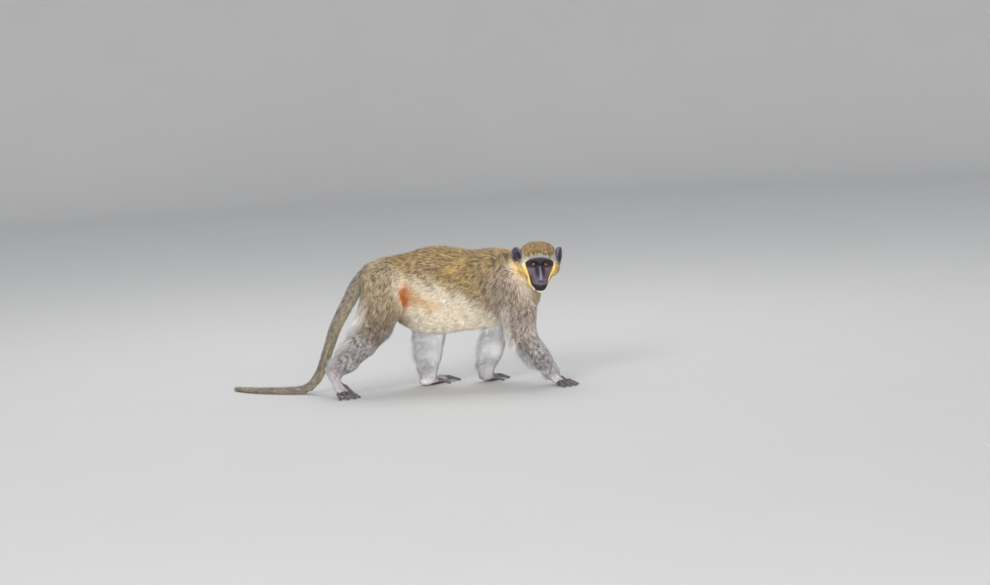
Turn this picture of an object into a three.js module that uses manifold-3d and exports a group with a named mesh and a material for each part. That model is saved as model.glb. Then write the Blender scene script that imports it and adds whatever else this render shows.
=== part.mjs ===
import * as THREE from 'three';
import { mergeVertices } from 'three/addons/utils/BufferGeometryUtils.js';
import Module from 'manifold-3d';

// A vervet monkey (green monkey form) walking on all fours, life size, as a still museum model.
// Millimetres, +Z up, chest end towards +X, left side of the body towards +Y. The head is turned
// to the right, towards -Y. Every solid reaches out to the tips of the coat. The whole body is one
// smooth field of masses and limbs, polygonised part by part and parted by thin plane cuts.

const wasm = await Module();
wasm.setup();

// ---------------------------------------------------------------- driving dimensions, mm

const gap = 0.3; // clearance of every parting cut
const middle = [-86, 2.8, 0]; // floor point under the middle of the whole animal, the frame's origin
const weld = 0.02; // vertices closer than this are one
const reach = 900; // larger than the animal, for cutting blocks
const boxMargin = 22; // room round a limb's stations for its blends
const midlineKeep = 4; // how far the shanks and forearms stay off the body's middle plane
const capHeight = 0.7; // how far a tube's rounded end stands out, in radii
const tiny = 1e-9;

const trunk = {
  pelvis: { centre: [-94, 0, 252], radii: [72, 49, 58] },
  barrel: { centre: [8, 0, 227], radii: [130, 62, 101] },
  chest: { centre: [106, 0, 222], radii: [112, 58, 89] },
  breast: { centre: [196, 0, 204], radii: [46, 41, 48] },
  bladeRight: { centre: [134, -30, 272], radii: [46, 27, 38] },
  bladeLeft: { centre: [134, 30, 272], radii: [46, 27, 38] },
};

const neckRun = [
  { at: [140, 0, 256], radius: 50 },
  { at: [190, 7, 246], radius: 45 },
  { at: [226, 2, 254], radius: 38 },
];

const neckFlatness = 0.78;

const napeRidge = [
  { at: [132, 0, 280], radius: 29 },
  { at: [190, 12, 286], radius: 23 },
];

// Limb stations from the body outwards: joint centre and radius of the coat there.
const limbs = {
  hind_right: {
    flatness: 0.74,
    upper: [
      { at: [-122, -33, 256], radius: 45 },
      { at: [-124, -44, 200], radius: 45 },
      { at: [-138, -54, 160], radius: 39 },
    ],
    lower: [
      { at: [-143, -56, 150], radius: 35.5 },
      { at: [-172, -59, 119], radius: 31.5 },
      { at: [-208, -61, 82], radius: 25 },
      { at: [-234, -62, 61], radius: 18 },
    ],
  },
  hind_left: {
    flatness: 0.74,
    upper: [
      { at: [-120, 33, 254], radius: 45 },
      { at: [-70, 41, 214], radius: 44 },
      { at: [-28, 46, 170], radius: 37 },
    ],
    lower: [
      { at: [-15, 48, 152], radius: 36 },
      { at: [-19, 49, 112], radius: 32 },
      { at: [-23, 49, 70], radius: 26 },
      { at: [-26, 49, 30], radius: 20 },
    ],
  },
  fore_right: {
    flatness: 0.84,
    upper: [
      { at: [172, -36, 236], radius: 38 },
      { at: [191, -48, 178], radius: 37 },
      { at: [194, -53, 124], radius: 31 },
    ],
    lower: [
      { at: [196, -54, 110], radius: 29 },
      { at: [226, -56, 72], radius: 24 },
      { at: [259, -58, 32], radius: 16 },
    ],
  },
  fore_left: {
    flatness: 0.84,
    upper: [
      { at: [168, 36, 234], radius: 38 },
      { at: [154, 47, 180], radius: 33 },
      { at: [143, 51, 128], radius: 29 },
    ],
    lower: [
      { at: [140, 52, 116], radius: 27 },
      { at: [121, 52, 70], radius: 23 },
      { at: [107, 52, 26], radius: 17 },
    ],
  },
};

// Hands and feet: heel or wrist end, ball of the palm or sole, and the way the digits point.
const extremities = {
  foot_right: {
    heel: [-249, -57, 60],
    ball: [-222, -82, 9.5],
    pointing: -58,
    rootRadius: 13,
    ballRadius: 15,
    flatness: 0.62,
    thumbBack: 26,
  },
  foot_left: {
    heel: [-34, 44, 7.8],
    ball: [2, 88, 7.6],
    pointing: 47,
    rootRadius: 15,
    ballRadius: 15,
    flatness: 0.62,
    thumbBack: 30,
  },
  hand_right: {
    heel: [258, -58, 19],
    ball: [276, -75, 7.4],
    pointing: -42,
    rootRadius: 13,
    ballRadius: 13.5,
    flatness: 0.64,
    thumbBack: 18,
  },
  hand_left: {
    heel: [106, 54, 10],
    ball: [122, 76, 7.2],
    pointing: 52,
    rootRadius: 13,
    ballRadius: 13.5,
    flatness: 0.64,
    thumbBack: 18,
  },
};

const digit = {
  rootRadius: 4.4,
  tipRadius: 3.4,
  rise: 5,
  spacing: 6.8,
  fan: 15,
  handLength: 30,
  footLength: 34,
  lengths: [0.84, 1, 0.97, 0.8],
  thumbLength: 0.72,
  thumbTurn: 62,
  rooted: 0.6, // how far a digit starts inside the palm, in ball radii
  thumbInset: 0.45, // how far the thumb starts inwards of the ball, in ball radii
  knuckles: [
    { t: 0, lift: 0 },
    { t: 0.4, lift: 1 },
    { t: 0.75, lift: 0.45 },
    { t: 1, lift: 0 },
  ],
  tipHeight: 2.8,
  sides: 6,
  rings: 3,
};

// The head stands on its own axes: forward out of the face, left, and up, from between the eyes.
const head = {
  origin: [243, -66, 278],
  yaw: -86,
  pitch: 5,
  roll: -3.2,
};

const headMasses = {
  cranium: { centre: [-45, 0, 5], radii: [53, 40, 38.5] },
  brow: { centre: [-9, 0, 10], radii: [13, 29, 12] },
  face: { centre: [-15, 0, -10], radii: [17, 30, 26] },
  crownRight: { centre: [-42, -14, 17], radii: [44, 25, 24.5] },
  crownLeft: { centre: [-42, 14, 17], radii: [44, 25, 24.5] },
  cheekRight: { centre: [-33, -26, -10], radii: [26, 21, 24] },
  cheekLeft: { centre: [-33, 26, -10], radii: [26, 21, 24] },
  ruffRight: { centre: [-47, -31, -14], radii: [23, 19, 20] },
  ruffLeft: { centre: [-47, 31, -14], radii: [23, 19, 20] },
  throat: { centre: [-34, 0, -38], radii: [32, 27, 20] },
};

const headRuns = {
  muzzle: [
    { at: [-8, 0, -24], radius: 21 },
    { at: [17, 0, -36], radius: 17.5 },
  ],
  noseBridge: [
    { at: [-6, 0, 0], radius: 8 },
    { at: [26, 0, -27], radius: 8 },
  ],
  jaw: [
    { at: [-26, 0, -42], radius: 18 },
    { at: [13, 0, -49], radius: 11.5 },
  ],
};

const eye = {
  radius: 8.5,
  forward: -7,
  aside: 14,
  up: 0,
  orbit: 11,
  orbitForward: 8,
  segments: [12, 8],
};

const ear = {
  root: [-44, 47, 11],
  radii: [9, 15, 22],
  wall: 3,
  opening: [4.5, 0, 1],
  turn: 38,
  lean: 14,
  room: [-36, 60, 12], // middle of the hollow in the fur that leaves the ear open to the front
  roomRadius: 19,
  segments: [10, 7],
};

const tail = {
  route: [
    [-150, 0, 276],
    [-172, 0, 254],
    [-203, 0, 205],
    [-233, 0, 153],
    [-257, 2, 92],
    [-279, 6, 42],
    [-308, 12, 13],
    [-352, 26, 8.6],
    [-402, 50, 7.6],
    [-448, 84, 6.4],
    [-484, 126, 5.2],
  ],
  rootRadius: 19,
  midRadius: 13,
  floorRadius: 9.5,
  tipRadius: 6,
  sides: 8,
  rings: 32,
  cuts: [0.27, 0.52, 0.74],
};

// Size of the grid cells that each part is polygonised with.
const cells = { trunk: 24.5, neck: 18, head: 10, upper: 21, lower: 15, base: 9.4 };

// Boxes that hold the head, the neck and the trunk.
const boxes = {
  head: [[150, -150, 180], [320, 90, 350]],
  neck: [[100, -90, 150], [290, 90, 340]],
  trunk: [[-200, -100, 90], [260, 100, 350]],
};

const blends = { trunk: 26, limb: 14, body: 24, neck: 16, face: 9, digits: 3 };

// ---------------------------------------------------------------- fields

const vec = (a) => new THREE.Vector3(a[0], a[1], a[2]);

// Smooth union: the smaller distance, rounded over a width k where both are close.
function blend(a, b, k) {
  const h = Math.max(k - Math.abs(a - b), 0) / k;
  return Math.min(a, b) - (h * h * k) / 4;
}

// Distance to an ellipsoid, to first order: k0 (k0 - 1) / k1.
function massDistance(p, mass) {
  const [cx, cy, cz] = mass.centre;
  const [rx, ry, rz] = mass.radii;
  const x = (p.x - cx) / rx;
  const y = (p.y - cy) / ry;
  const z = (p.z - cz) / rz;
  const k0 = Math.hypot(x, y, z);
  const k1 = Math.hypot(x / rx, y / ry, z / rz);
  return k1 < tiny ? -Math.min(rx, ry, rz) : (k0 * (k0 - 1)) / k1;
}

// Distance to a tapered rod between two stations, narrowed by flatness along the axis named thin.
function rodDistance(p, from, to, flatness, thin) {
  const a = vec(from.at);
  const along = vec(to.at).sub(a);
  const offset = p.clone().sub(a);
  const t = THREE.MathUtils.clamp(offset.dot(along) / along.lengthSq(), 0, 1);
  offset.addScaledVector(along, -t);
  const stretched = offset.clone().addScaledVector(thin, offset.dot(thin) * (1 / flatness - 1));
  const slope = stretched.clone().addScaledVector(thin, stretched.dot(thin) * (1 / flatness - 1));
  const size = stretched.length();
  const radius = THREE.MathUtils.lerp(from.radius, to.radius, t);
  return size < tiny ? -radius * flatness : ((size - radius) * size) / slope.length();
}

function runDistance(p, stations, flatness, thin, k) {
  let d = Infinity;
  for (let i = 0; i + 1 < stations.length; i += 1) {
    const piece = rodDistance(p, stations[i], stations[i + 1], flatness, thin);
    d = i === 0 ? piece : blend(d, piece, k);
  }
  return d;
}

const acrossBody = new THREE.Vector3(0, 1, 0);
const upward = new THREE.Vector3(0, 0, 1);

const headTurn = new THREE.Matrix4()
  .makeRotationZ(THREE.MathUtils.degToRad(head.yaw))
  .multiply(new THREE.Matrix4().makeRotationY(THREE.MathUtils.degToRad(head.pitch)))
  .multiply(new THREE.Matrix4().makeRotationX(THREE.MathUtils.degToRad(head.roll)))
  .setPosition(vec(head.origin));
const intoHead = headTurn.clone().invert();

function headDistance(point) {
  const p = point.clone().applyMatrix4(intoHead);
  let d = massDistance(p, headMasses.cranium);
  for (const mass of Object.values(headMasses).slice(1)) {
    d = blend(d, massDistance(p, mass), blends.face);
  }
  for (const run of Object.values(headRuns)) {
    d = blend(d, runDistance(p, run, 1, acrossBody, blends.face), blends.face);
  }
  for (const side of [-1, 1]) {
    const orbit = new THREE.Vector3(eye.orbitForward, side * eye.aside, eye.up);
    d = -blend(-d, p.distanceTo(orbit) - eye.orbit, blends.digits);
  }
  return d;
}

function soleStations(part) {
  return [
    { at: part.heel, radius: part.rootRadius },
    { at: part.ball, radius: part.ballRadius },
  ];
}

// Plane of a hand or foot: its thin direction, square to its length.
function soleNormal(part) {
  const along = vec(part.ball).sub(vec(part.heel)).normalize();
  return upward.clone().addScaledVector(along, -along.z).normalize();
}

const limbExtremity = {
  hind_right: 'foot_right',
  hind_left: 'foot_left',
  fore_right: 'hand_right',
  fore_left: 'hand_left',
};

function bodyDistance(p) {
  const masses = Object.values(trunk);
  let core = massDistance(p, masses[0]);
  for (const mass of masses.slice(1)) {
    core = blend(core, massDistance(p, mass), blends.trunk);
  }
  core = blend(core, runDistance(p, neckRun, neckFlatness, acrossBody, blends.limb), blends.trunk);
  core = blend(core, runDistance(p, napeRidge, 1, acrossBody, blends.limb), blends.limb);
  const chains = [];
  for (const [name, limb] of Object.entries(limbs)) {
    const upper = runDistance(p, limb.upper, limb.flatness, acrossBody, blends.limb);
    const lower = runDistance(p, limb.lower, limb.flatness, acrossBody, blends.limb);
    core = blend(core, upper, blends.body);
    const part = extremities[limbExtremity[name]];
    const sole = runDistance(p, soleStations(part), part.flatness, soleNormal(part), blends.digits);
    chains.push(blend(blend(upper, lower, blends.limb), sole, blends.limb));
  }
  for (const chain of chains) {
    core = blend(core, chain, blends.digits);
  }
  return openEars(blend(core, headDistance(p), blends.neck), p);
}

// Hollows out the fur in front of both ears.
function openEars(distance, point) {
  const p = point.clone().applyMatrix4(intoHead);
  return [-1, 1].reduce((d, side) => {
    const room = new THREE.Vector3(ear.room[0], side * ear.room[1], ear.room[2]);
    return -blend(-d, p.distanceTo(room) - ear.roomRadius, blends.face);
  }, distance);
}

// ---------------------------------------------------------------- surfaces

// Closed surface of a field inside a box: one vertex for each grid cell that the surface
// crosses, drawn onto the field, and one quad round each grid edge that it crosses.
function polygonise(field, low, high, cell) {
  const count = [0, 1, 2].map((i) => Math.ceil((high[i] - low[i]) / cell) + 1);
  const [nx, ny, nz] = count;
  const values = new Float64Array(nx * ny * nz);
  const index = (i, j, k) => i + nx * (j + ny * k);
  const point = new THREE.Vector3();
  for (let k = 0; k < nz; k += 1) {
    for (let j = 0; j < ny; j += 1) {
      for (let i = 0; i < nx; i += 1) {
        const rim = i === 0 || j === 0 || k === 0 || i === nx - 1 || j === ny - 1 || k === nz - 1;
        point.set(low[0] + i * cell, low[1] + j * cell, low[2] + k * cell);
        const d = field(point);
        values[index(i, j, k)] = rim ? Math.max(d, cell / 2) : d;
      }
    }
  }
  const corners = [];
  for (let c = 0; c < 8; c += 1) {
    corners.push([c & 1, (c >> 1) & 1, (c >> 2) & 1]);
  }
  const vertexOf = new Map();
  const positions = [];
  for (let k = 0; k + 1 < nz; k += 1) {
    for (let j = 0; j + 1 < ny; j += 1) {
      for (let i = 0; i + 1 < nx; i += 1) {
        const sum = new THREE.Vector3();
        let crossings = 0;
        for (let a = 0; a < 8; a += 1) {
          for (const bit of [1, 2, 4]) {
            const b = a | bit;
            if (b === a) continue;
            const va = values[index(i + corners[a][0], j + corners[a][1], k + corners[a][2])];
            const vb = values[index(i + corners[b][0], j + corners[b][1], k + corners[b][2])];
            if (va < 0 === vb < 0) continue;
            const t = va / (va - vb);
            const from = vec(corners[a]);
            sum.add(from.lerp(vec(corners[b]), t));
            crossings += 1;
          }
        }
        if (crossings === 0) continue;
        sum.divideScalar(crossings);
        const place = new THREE.Vector3(
          low[0] + (i + sum.x) * cell,
          low[1] + (j + sum.y) * cell,
          low[2] + (k + sum.z) * cell,
        );
        drawOnto(place, field, cell);
        vertexOf.set(index(i, j, k), positions.length / 3);
        positions.push(place.x, place.y, place.z);
      }
    }
  }
  const faces = [];
  const steps = [
    [1, 0, 0],
    [0, 1, 0],
    [0, 0, 1],
  ];
  for (let k = 0; k < nz; k += 1) {
    for (let j = 0; j < ny; j += 1) {
      for (let i = 0; i < nx; i += 1) {
        for (let axis = 0; axis < 3; axis += 1) {
          const [sx, sy, sz] = steps[axis];
          if (i + sx >= nx || j + sy >= ny || k + sz >= nz) continue;
          if (i + sx < 1 || j + sy < 1 || k + sz < 1) continue;
          const inside = values[index(i, j, k)] < 0;
          if (inside === values[index(i + sx, j + sy, k + sz)] < 0) continue;
          const [ux, uy, uz] = steps[(axis + 1) % 3];
          const [vx, vy, vz] = steps[(axis + 2) % 3];
          const ring = [
            vertexOf.get(index(i, j, k)),
            vertexOf.get(index(i - ux, j - uy, k - uz)),
            vertexOf.get(index(i - ux - vx, j - uy - vy, k - uz - vz)),
            vertexOf.get(index(i - vx, j - vy, k - vz)),
          ];
          if (!inside) ring.reverse();
          faces.push(ring[0], ring[1], ring[2], ring[0], ring[2], ring[3]);
        }
      }
    }
  }
  return { positions, faces };
}

const newtonSteps = 3;
const slopeStep = 0.5; // half the span that a slope is measured over

// Newton steps along the field's slope, held within half a cell of the start.
function drawOnto(place, field, cell) {
  const start = place.clone();
  const along = (axis) => {
    const ahead = place.clone().setComponent(axis, place.getComponent(axis) + slopeStep);
    const behind = place.clone().setComponent(axis, place.getComponent(axis) - slopeStep);
    return (field(ahead) - field(behind)) / (2 * slopeStep);
  };
  for (let step = 0; step < newtonSteps; step += 1) {
    const d = field(place);
    const slope = new THREE.Vector3(along(0), along(1), along(2));
    const steep = slope.lengthSq();
    if (steep < tiny) return;
    place.addScaledVector(slope, -d / steep);
  }
  const moved = place.clone().sub(start);
  if (moved.length() > cell / 2) {
    place.copy(start).addScaledVector(moved.normalize(), cell / 2);
  }
}

function solidFromArrays(positions, faces) {
  const mesh = new wasm.Mesh({
    numProp: 3,
    vertProperties: new Float32Array(positions),
    triVerts: new Uint32Array(faces),
  });
  return new wasm.Manifold(mesh);
}

function solidFromGeometry(geometry) {
  const bare = geometry.clone();
  bare.deleteAttribute('normal');
  bare.deleteAttribute('uv');
  const merged = mergeVertices(bare, weld / 100);
  return solidFromArrays(merged.attributes.position.array, merged.index.array);
}

// Closed tapered tube along a curve, rounded off over its last ring at both ends.
function tubeSolid(curve, radiusAt, sides, rings) {
  const frames = curve.computeFrenetFrames(rings, false);
  const positions = [];
  const faces = [];
  for (let r = 0; r <= rings; r += 1) {
    const t = r / rings;
    const centre = curve.getPointAt(t);
    for (let s = 0; s < sides; s += 1) {
      const angle = (2 * Math.PI * s) / sides;
      const spoke = frames.normals[r]
        .clone()
        .multiplyScalar(Math.cos(angle))
        .addScaledVector(frames.binormals[r], Math.sin(angle));
      const place = centre.clone().addScaledVector(spoke, radiusAt(t));
      positions.push(place.x, place.y, place.z);
    }
  }
  for (let r = 0; r < rings; r += 1) {
    for (let s = 0; s < sides; s += 1) {
      const next = (s + 1) % sides;
      const a = r * sides + s;
      const b = r * sides + next;
      faces.push(a, b, b + sides, a, b + sides, a + sides);
    }
  }
  for (const [r, direction, flip] of [
    [0, -1, true],
    [rings, 1, false],
  ]) {
    const pole = curve.getPointAt(r / rings);
    pole.addScaledVector(frames.tangents[r], direction * radiusAt(r / rings) * capHeight);
    positions.push(pole.x, pole.y, pole.z);
    const top = positions.length / 3 - 1;
    for (let s = 0; s < sides; s += 1) {
      const a = r * sides + s;
      const b = r * sides + ((s + 1) % sides);
      faces.push(...(flip ? [b, a, top] : [a, b, top]));
    }
  }
  return solidFromArrays(positions, faces);
}

// A block filling the side of a plane that its normal points to, set back by a clearance.
function halfSpace(point, normal, clearance = gap / 2) {
  const block = new THREE.BoxGeometry(2 * reach, 2 * reach, 2 * reach);
  const n = vec(normal).normalize();
  const turn = new THREE.Quaternion().setFromUnitVectors(upward, n);
  block.applyQuaternion(turn);
  const centre = vec(point).addScaledVector(n, reach + clearance);
  block.translate(centre.x, centre.y, centre.z);
  return solidFromGeometry(block);
}

// The space that keeps to the inner side of every listed plane.
function regionOf(planes, clearance) {
  return planes
    .map(([point, normal]) => halfSpace(point, normal, clearance))
    .reduce((all, block) => all.intersect(block));
}

// ---------------------------------------------------------------- parting planes

const parting = {
  head: [[[180, -20, 275], [0.616, -0.407, 0.674]]],
  neck: [[[150, 0, 306], [0.82, 0, 0.57]]],
  tail: [[[-152, 0, 270], [-0.8, 0, 0.12]]],
  hind_right: {
    upper: [
      [[0, -27, 0], [0, -1, 0]],
      [[-68, 0, 180], [-0.94, 0, -0.33]],
      [[-120, 0, 290], [-0.25, 0, -1]],
    ],
    joint: [[-126, -55, 146], [-0.42, 0, -0.9]],
    end: [[-238, -62, 57], [0.12, -0.25, -0.96]],
  },
  hind_left: {
    upper: [
      [[0, 29, 0], [0, 1, 0]],
      [[-74, 0, 282], [-0.72, 0, -0.7]],
      [[20, 0, 150], [-1, 0, 0]],
    ],
    joint: [[-24, 48, 124], [0, 0, -1]],
    end: [[-34, 49, 26], [0.1, 0, -1]],
  },
  fore_right: {
    upper: [
      [[0, -30, 0], [0, -1, 0]],
      [[136, 0, 180], [1, 0, 0.12]],
      [[170, 0, 268], [0, 0, -1]],
    ],
    joint: [[187, -53, 114], [0.4, 0, -0.92]],
    end: [[257, -58, 30], [0.5, -0.1, -0.86]],
  },
  fore_left: {
    upper: [
      [[0, 30, 0], [0, 1, 0]],
      [[108, 0, 180], [1, 0, 0.12]],
      [[170, 0, 268], [0, 0, -1]],
    ],
    joint: [[137, 51, 122], [0, 0, -1]],
    end: [[103, 52, 25], [0, 0.1, -1]],
  },
};

const flipped = ([point, normal]) => [point, normal.map((n) => -n)];
const aboveFloor = () => halfSpace([0, 0, 0], [0, 0, 1], 0);

// ---------------------------------------------------------------- parts

const parts = new Map();

function fieldSolid(field, [low, high], cell) {
  const { positions, faces } = polygonise(field, low, high, cell);
  return solidFromArrays(positions, faces);
}

function makeHead() {
  const [plane] = parting.head;
  let solid = fieldSolid(bodyDistance, boxes.head, cells.head);
  solid = solid.intersect(regionOf([plane]));
  for (const side of [-1, 1]) {
    const place = vec([eye.forward, side * eye.aside, eye.up]).applyMatrix4(headTurn);
    const socket = new THREE.SphereGeometry(eye.radius + gap, ...eye.segments);
    socket.translate(place.x, place.y, place.z);
    solid = solid.subtract(solidFromGeometry(socket));
    const ball = new THREE.SphereGeometry(eye.radius, ...eye.segments);
    ball.translate(place.x, place.y, place.z);
    parts.set(side < 0 ? 'eye_right' : 'eye_left', solidFromGeometry(ball));
  }
  return solid;
}

function largestPiece(solid) {
  return solid.decompose().reduce((best, one) => (one.volume() > best.volume() ? one : best));
}

// A thin bowl: an egg shape with a smaller one, set forward, taken out of it.
function earSolid(side) {
  const shape = (shrink, offset) => {
    const egg = new THREE.SphereGeometry(1, ...ear.segments);
    egg.scale(ear.radii[0] - shrink, ear.radii[1] - shrink, ear.radii[2] - shrink);
    egg.translate(offset[0], offset[1], offset[2]);
    egg.applyMatrix4(
      new THREE.Matrix4()
        .makeTranslation(ear.root[0], side * ear.root[1], ear.root[2])
        .multiply(new THREE.Matrix4().makeRotationZ(THREE.MathUtils.degToRad(side * ear.turn)))
        .multiply(new THREE.Matrix4().makeRotationX(THREE.MathUtils.degToRad(-side * ear.lean))),
    );
    egg.applyMatrix4(headTurn);
    return solidFromGeometry(egg);
  };
  return shape(0, [0, 0, 0]).subtract(shape(ear.wall, ear.opening));
}

function digitSolids(part, length, side) {
  const solids = [];
  const ball = vec(part.ball);
  const heading = THREE.MathUtils.degToRad(part.pointing);
  const forward = new THREE.Vector3(Math.cos(heading), Math.sin(heading), 0);
  const aside = new THREE.Vector3(-Math.sin(heading), Math.cos(heading), 0).multiplyScalar(side);
  const radiusAt = (t) => THREE.MathUtils.lerp(digit.rootRadius, digit.tipRadius, t);
  const finger = (root, turn, size) => {
    const way = forward.clone().multiplyScalar(Math.cos(turn)).addScaledVector(aside, Math.sin(turn));
    const points = digit.knuckles.map(({ t, lift }) => {
      const place = root.clone().addScaledVector(way, t * size);
      return place.setZ(THREE.MathUtils.lerp(root.z, digit.tipHeight, t) + lift * digit.rise);
    });
    const curve = new THREE.CatmullRomCurve3(points);
    solids.push(tubeSolid(curve, radiusAt, digit.sides, digit.rings));
  };
  const rooted = part.ballRadius * digit.rooted;
  const middleDigit = (digit.lengths.length - 1) / 2;
  digit.lengths.forEach((share, i) => {
    const step = i - middleDigit;
    const root = ball.clone().addScaledVector(aside, step * digit.spacing);
    finger(root, THREE.MathUtils.degToRad(step * digit.fan), length * share + rooted);
  });
  const thumbRoot = ball
    .clone()
    .addScaledVector(vec(part.ball).sub(vec(part.heel)).normalize(), -part.thumbBack)
    .addScaledVector(aside, -part.ballRadius * digit.thumbInset);
  const thumbTurn = THREE.MathUtils.degToRad(-digit.thumbTurn);
  finger(thumbRoot, thumbTurn, length * digit.thumbLength + rooted);
  return solids;
}

// The half of space, right or left of the body's middle plane, that a limb stands in.
const sideOf = (name) => (name.endsWith('right') ? -1 : 1);

function ownSide(name) {
  const side = sideOf(name);
  return [[0, side * midlineKeep, 0], [0, side, 0]];
}

function makeLimb(name) {
  const limb = limbs[name];
  const cuts = parting[name];
  const [upperName, lowerName] = name.startsWith('hind') ? ['thigh', 'shank'] : ['upper_arm', 'forearm'];
  const suffix = name.endsWith('right') ? '_right' : '_left';
  const boxOf = (stations) => {
    const box = new THREE.Box3();
    for (const station of stations) {
      box.expandByPoint(vec(station.at).addScalar(station.radius + boxMargin));
      box.expandByPoint(vec(station.at).addScalar(-station.radius - boxMargin));
    }
    return [box.min.toArray(), box.max.toArray()];
  };
  const upper = fieldSolid(bodyDistance, boxOf(limb.upper), cells.upper);
  const upperRegion = regionOf([...cuts.upper, flipped(cuts.joint)]);
  const beyond = regionOf(parting.head, -gap / 2).add(tailTube(gap));
  parts.set(upperName + suffix, largestPiece(upper.intersect(upperRegion).subtract(beyond)));
  const lower = fieldSolid(bodyDistance, boxOf(limb.lower), cells.lower);
  const lowerRegion = regionOf([ownSide(name), cuts.joint, flipped(cuts.end)]);
  parts.set(lowerName + suffix, largestPiece(lower.intersect(lowerRegion)));

  const partName = limbExtremity[name];
  const part = extremities[partName];
  const length = partName.startsWith('foot') ? digit.footLength : digit.handLength;
  const ends = [...soleStations(part), limb.lower.at(-1)];
  const base = fieldSolid(bodyDistance, boxOf(ends), cells.base);
  const whole = digitSolids(part, length, sideOf(name)).reduce((all, one) => all.add(one), base);
  const placed = whole.intersect(regionOf([ownSide(name), cuts.end])).intersect(aboveFloor());
  parts.set(partName, largestPiece(placed));
}

const tailCurve = new THREE.CatmullRomCurve3(tail.route.map(vec), false, 'centripetal');

// The tail's tube, thickened by a clearance where it makes room for itself in the rump.
function tailTube(clearance) {
  const stops = [tail.rootRadius, tail.midRadius, tail.floorRadius, tail.tipRadius];
  const radiusAt = (t) => {
    const at = t * (stops.length - 1);
    const i = Math.min(Math.floor(at), stops.length - 2);
    return THREE.MathUtils.lerp(stops[i], stops[i + 1], at - i) + clearance;
  };
  return tubeSolid(tailCurve, radiusAt, tail.sides, tail.rings);
}

function makeTail() {
  const whole = tailTube(0).intersect(aboveFloor()).intersect(regionOf(parting.tail));
  const planes = tail.cuts.map((t) => [
    tailCurve.getPointAt(t).toArray(),
    tailCurve.getTangentAt(t).toArray(),
  ]);
  const names = ['tail_root', 'tail_upper', 'tail_bend', 'tail_end'];
  names.forEach((name, i) => {
    const bounds = [];
    if (i > 0) bounds.push(planes[i - 1]);
    if (i < planes.length) bounds.push(flipped(planes[i]));
    parts.set(name, whole.intersect(regionOf(bounds)));
  });
}

function makeCore() {
  const regions = Object.keys(limbs).flatMap((name) => {
    const cuts = parting[name];
    const upper = regionOf([...cuts.upper, flipped(cuts.joint)], -gap / 2);
    const lower = regionOf([ownSide(name), cuts.joint], -gap / 2);
    return [upper, lower];
  });
  const beyondHead = regionOf(parting.head, -gap / 2);
  const beyondNeck = regionOf(parting.neck, -gap / 2);
  let neck = fieldSolid(bodyDistance, boxes.neck, cells.neck);
  neck = neck.intersect(regionOf(parting.neck)).subtract(beyondHead);
  let core = fieldSolid(bodyDistance, boxes.trunk, cells.trunk);
  const tailRoom = tailTube(gap).intersect(regionOf(parting.tail, -gap / 2));
  core = core.subtract(beyondHead).subtract(beyondNeck).subtract(tailRoom);
  for (const region of regions) {
    neck = neck.subtract(region);
    core = core.subtract(region);
  }
  parts.set('neck', largestPiece(neck));
  parts.set('trunk', largestPiece(core));
}

parts.set('head', makeHead());
for (const side of [-1, 1]) {
  const bowl = earSolid(side);
  const name = side < 0 ? 'ear_right' : 'ear_left';
  parts.set(name, largestPiece(bowl.subtract(parts.get('head')).intersect(regionOf(parting.head))));
}
Object.keys(limbs).forEach(makeLimb);
makeTail();
makeCore();

// ---------------------------------------------------------------- meshes

const coats = {
  olive: { color: 0x8f7a4e, roughness: 0.9 },
  grey: { color: 0x938a7c, roughness: 0.9 },
  pale: { color: 0xcfc8bb, roughness: 0.9 },
  gold: { color: 0xa58a52, roughness: 0.9 },
  skin: { color: 0x5c5256, roughness: 0.6 },
  iris: { color: 0x9a4f1c, roughness: 0.15 },
};

// Finish of each part, by the first word of its name; the inner sides of the far limbs are pale.
const finishes = {
  head: 'gold',
  neck: 'olive',
  trunk: 'olive',
  tail: 'olive',
  thigh: 'olive',
  shank: 'grey',
  foot: 'skin',
  upper: 'olive',
  forearm: 'grey',
  hand: 'skin',
  ear: 'skin',
  eye: 'iris',
};
const paleParts = ['shank_left', 'forearm_left'];

function finishOf(name) {
  const finish = paleParts.includes(name) ? 'pale' : finishes[name.split('_')[0]];
  return new THREE.MeshStandardMaterial({ ...coats[finish], metalness: 0 });
}

// Leaves out the triangles that welding has folded to an edge.
function withoutSlivers(geometry) {
  const index = geometry.index.array;
  const kept = [];
  for (let i = 0; i < index.length; i += 3) {
    const [a, b, c] = [index[i], index[i + 1], index[i + 2]];
    if (a !== b && b !== c && c !== a) kept.push(a, b, c);
  }
  geometry.setIndex(kept);
  return geometry;
}

const group = new THREE.Group();
for (const [name, solid] of parts) {
  const { vertProperties, triVerts } = solid.getMesh();
  const geometry = new THREE.BufferGeometry();
  geometry.setAttribute('position', new THREE.BufferAttribute(new Float32Array(vertProperties), 3));
  geometry.setIndex(new THREE.BufferAttribute(new Uint32Array(triVerts), 1));
  const tidy = withoutSlivers(mergeVertices(geometry, weld));
  tidy.computeVertexNormals();
  const mesh = new THREE.Mesh(tidy, finishOf(name));
  mesh.name = name;
  mesh.position.fromArray(middle).negate();
  group.add(mesh);
}

export default group;
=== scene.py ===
import math
from concurrent.futures import ThreadPoolExecutor

import bpy
import numpy as np
from mathutils import Matrix, Vector


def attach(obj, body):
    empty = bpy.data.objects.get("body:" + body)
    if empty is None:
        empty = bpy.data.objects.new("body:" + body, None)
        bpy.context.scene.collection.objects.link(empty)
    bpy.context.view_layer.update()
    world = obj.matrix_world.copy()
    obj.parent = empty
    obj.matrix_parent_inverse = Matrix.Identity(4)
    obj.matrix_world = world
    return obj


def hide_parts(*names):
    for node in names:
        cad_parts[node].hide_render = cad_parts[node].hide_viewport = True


# A green monkey (vervet) walking on all fours with its head turned to its right, life size.
# Every shape is worked out in body millimetres, x towards the chest, y to the left, z up from the
# floor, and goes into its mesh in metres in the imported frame.

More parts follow.
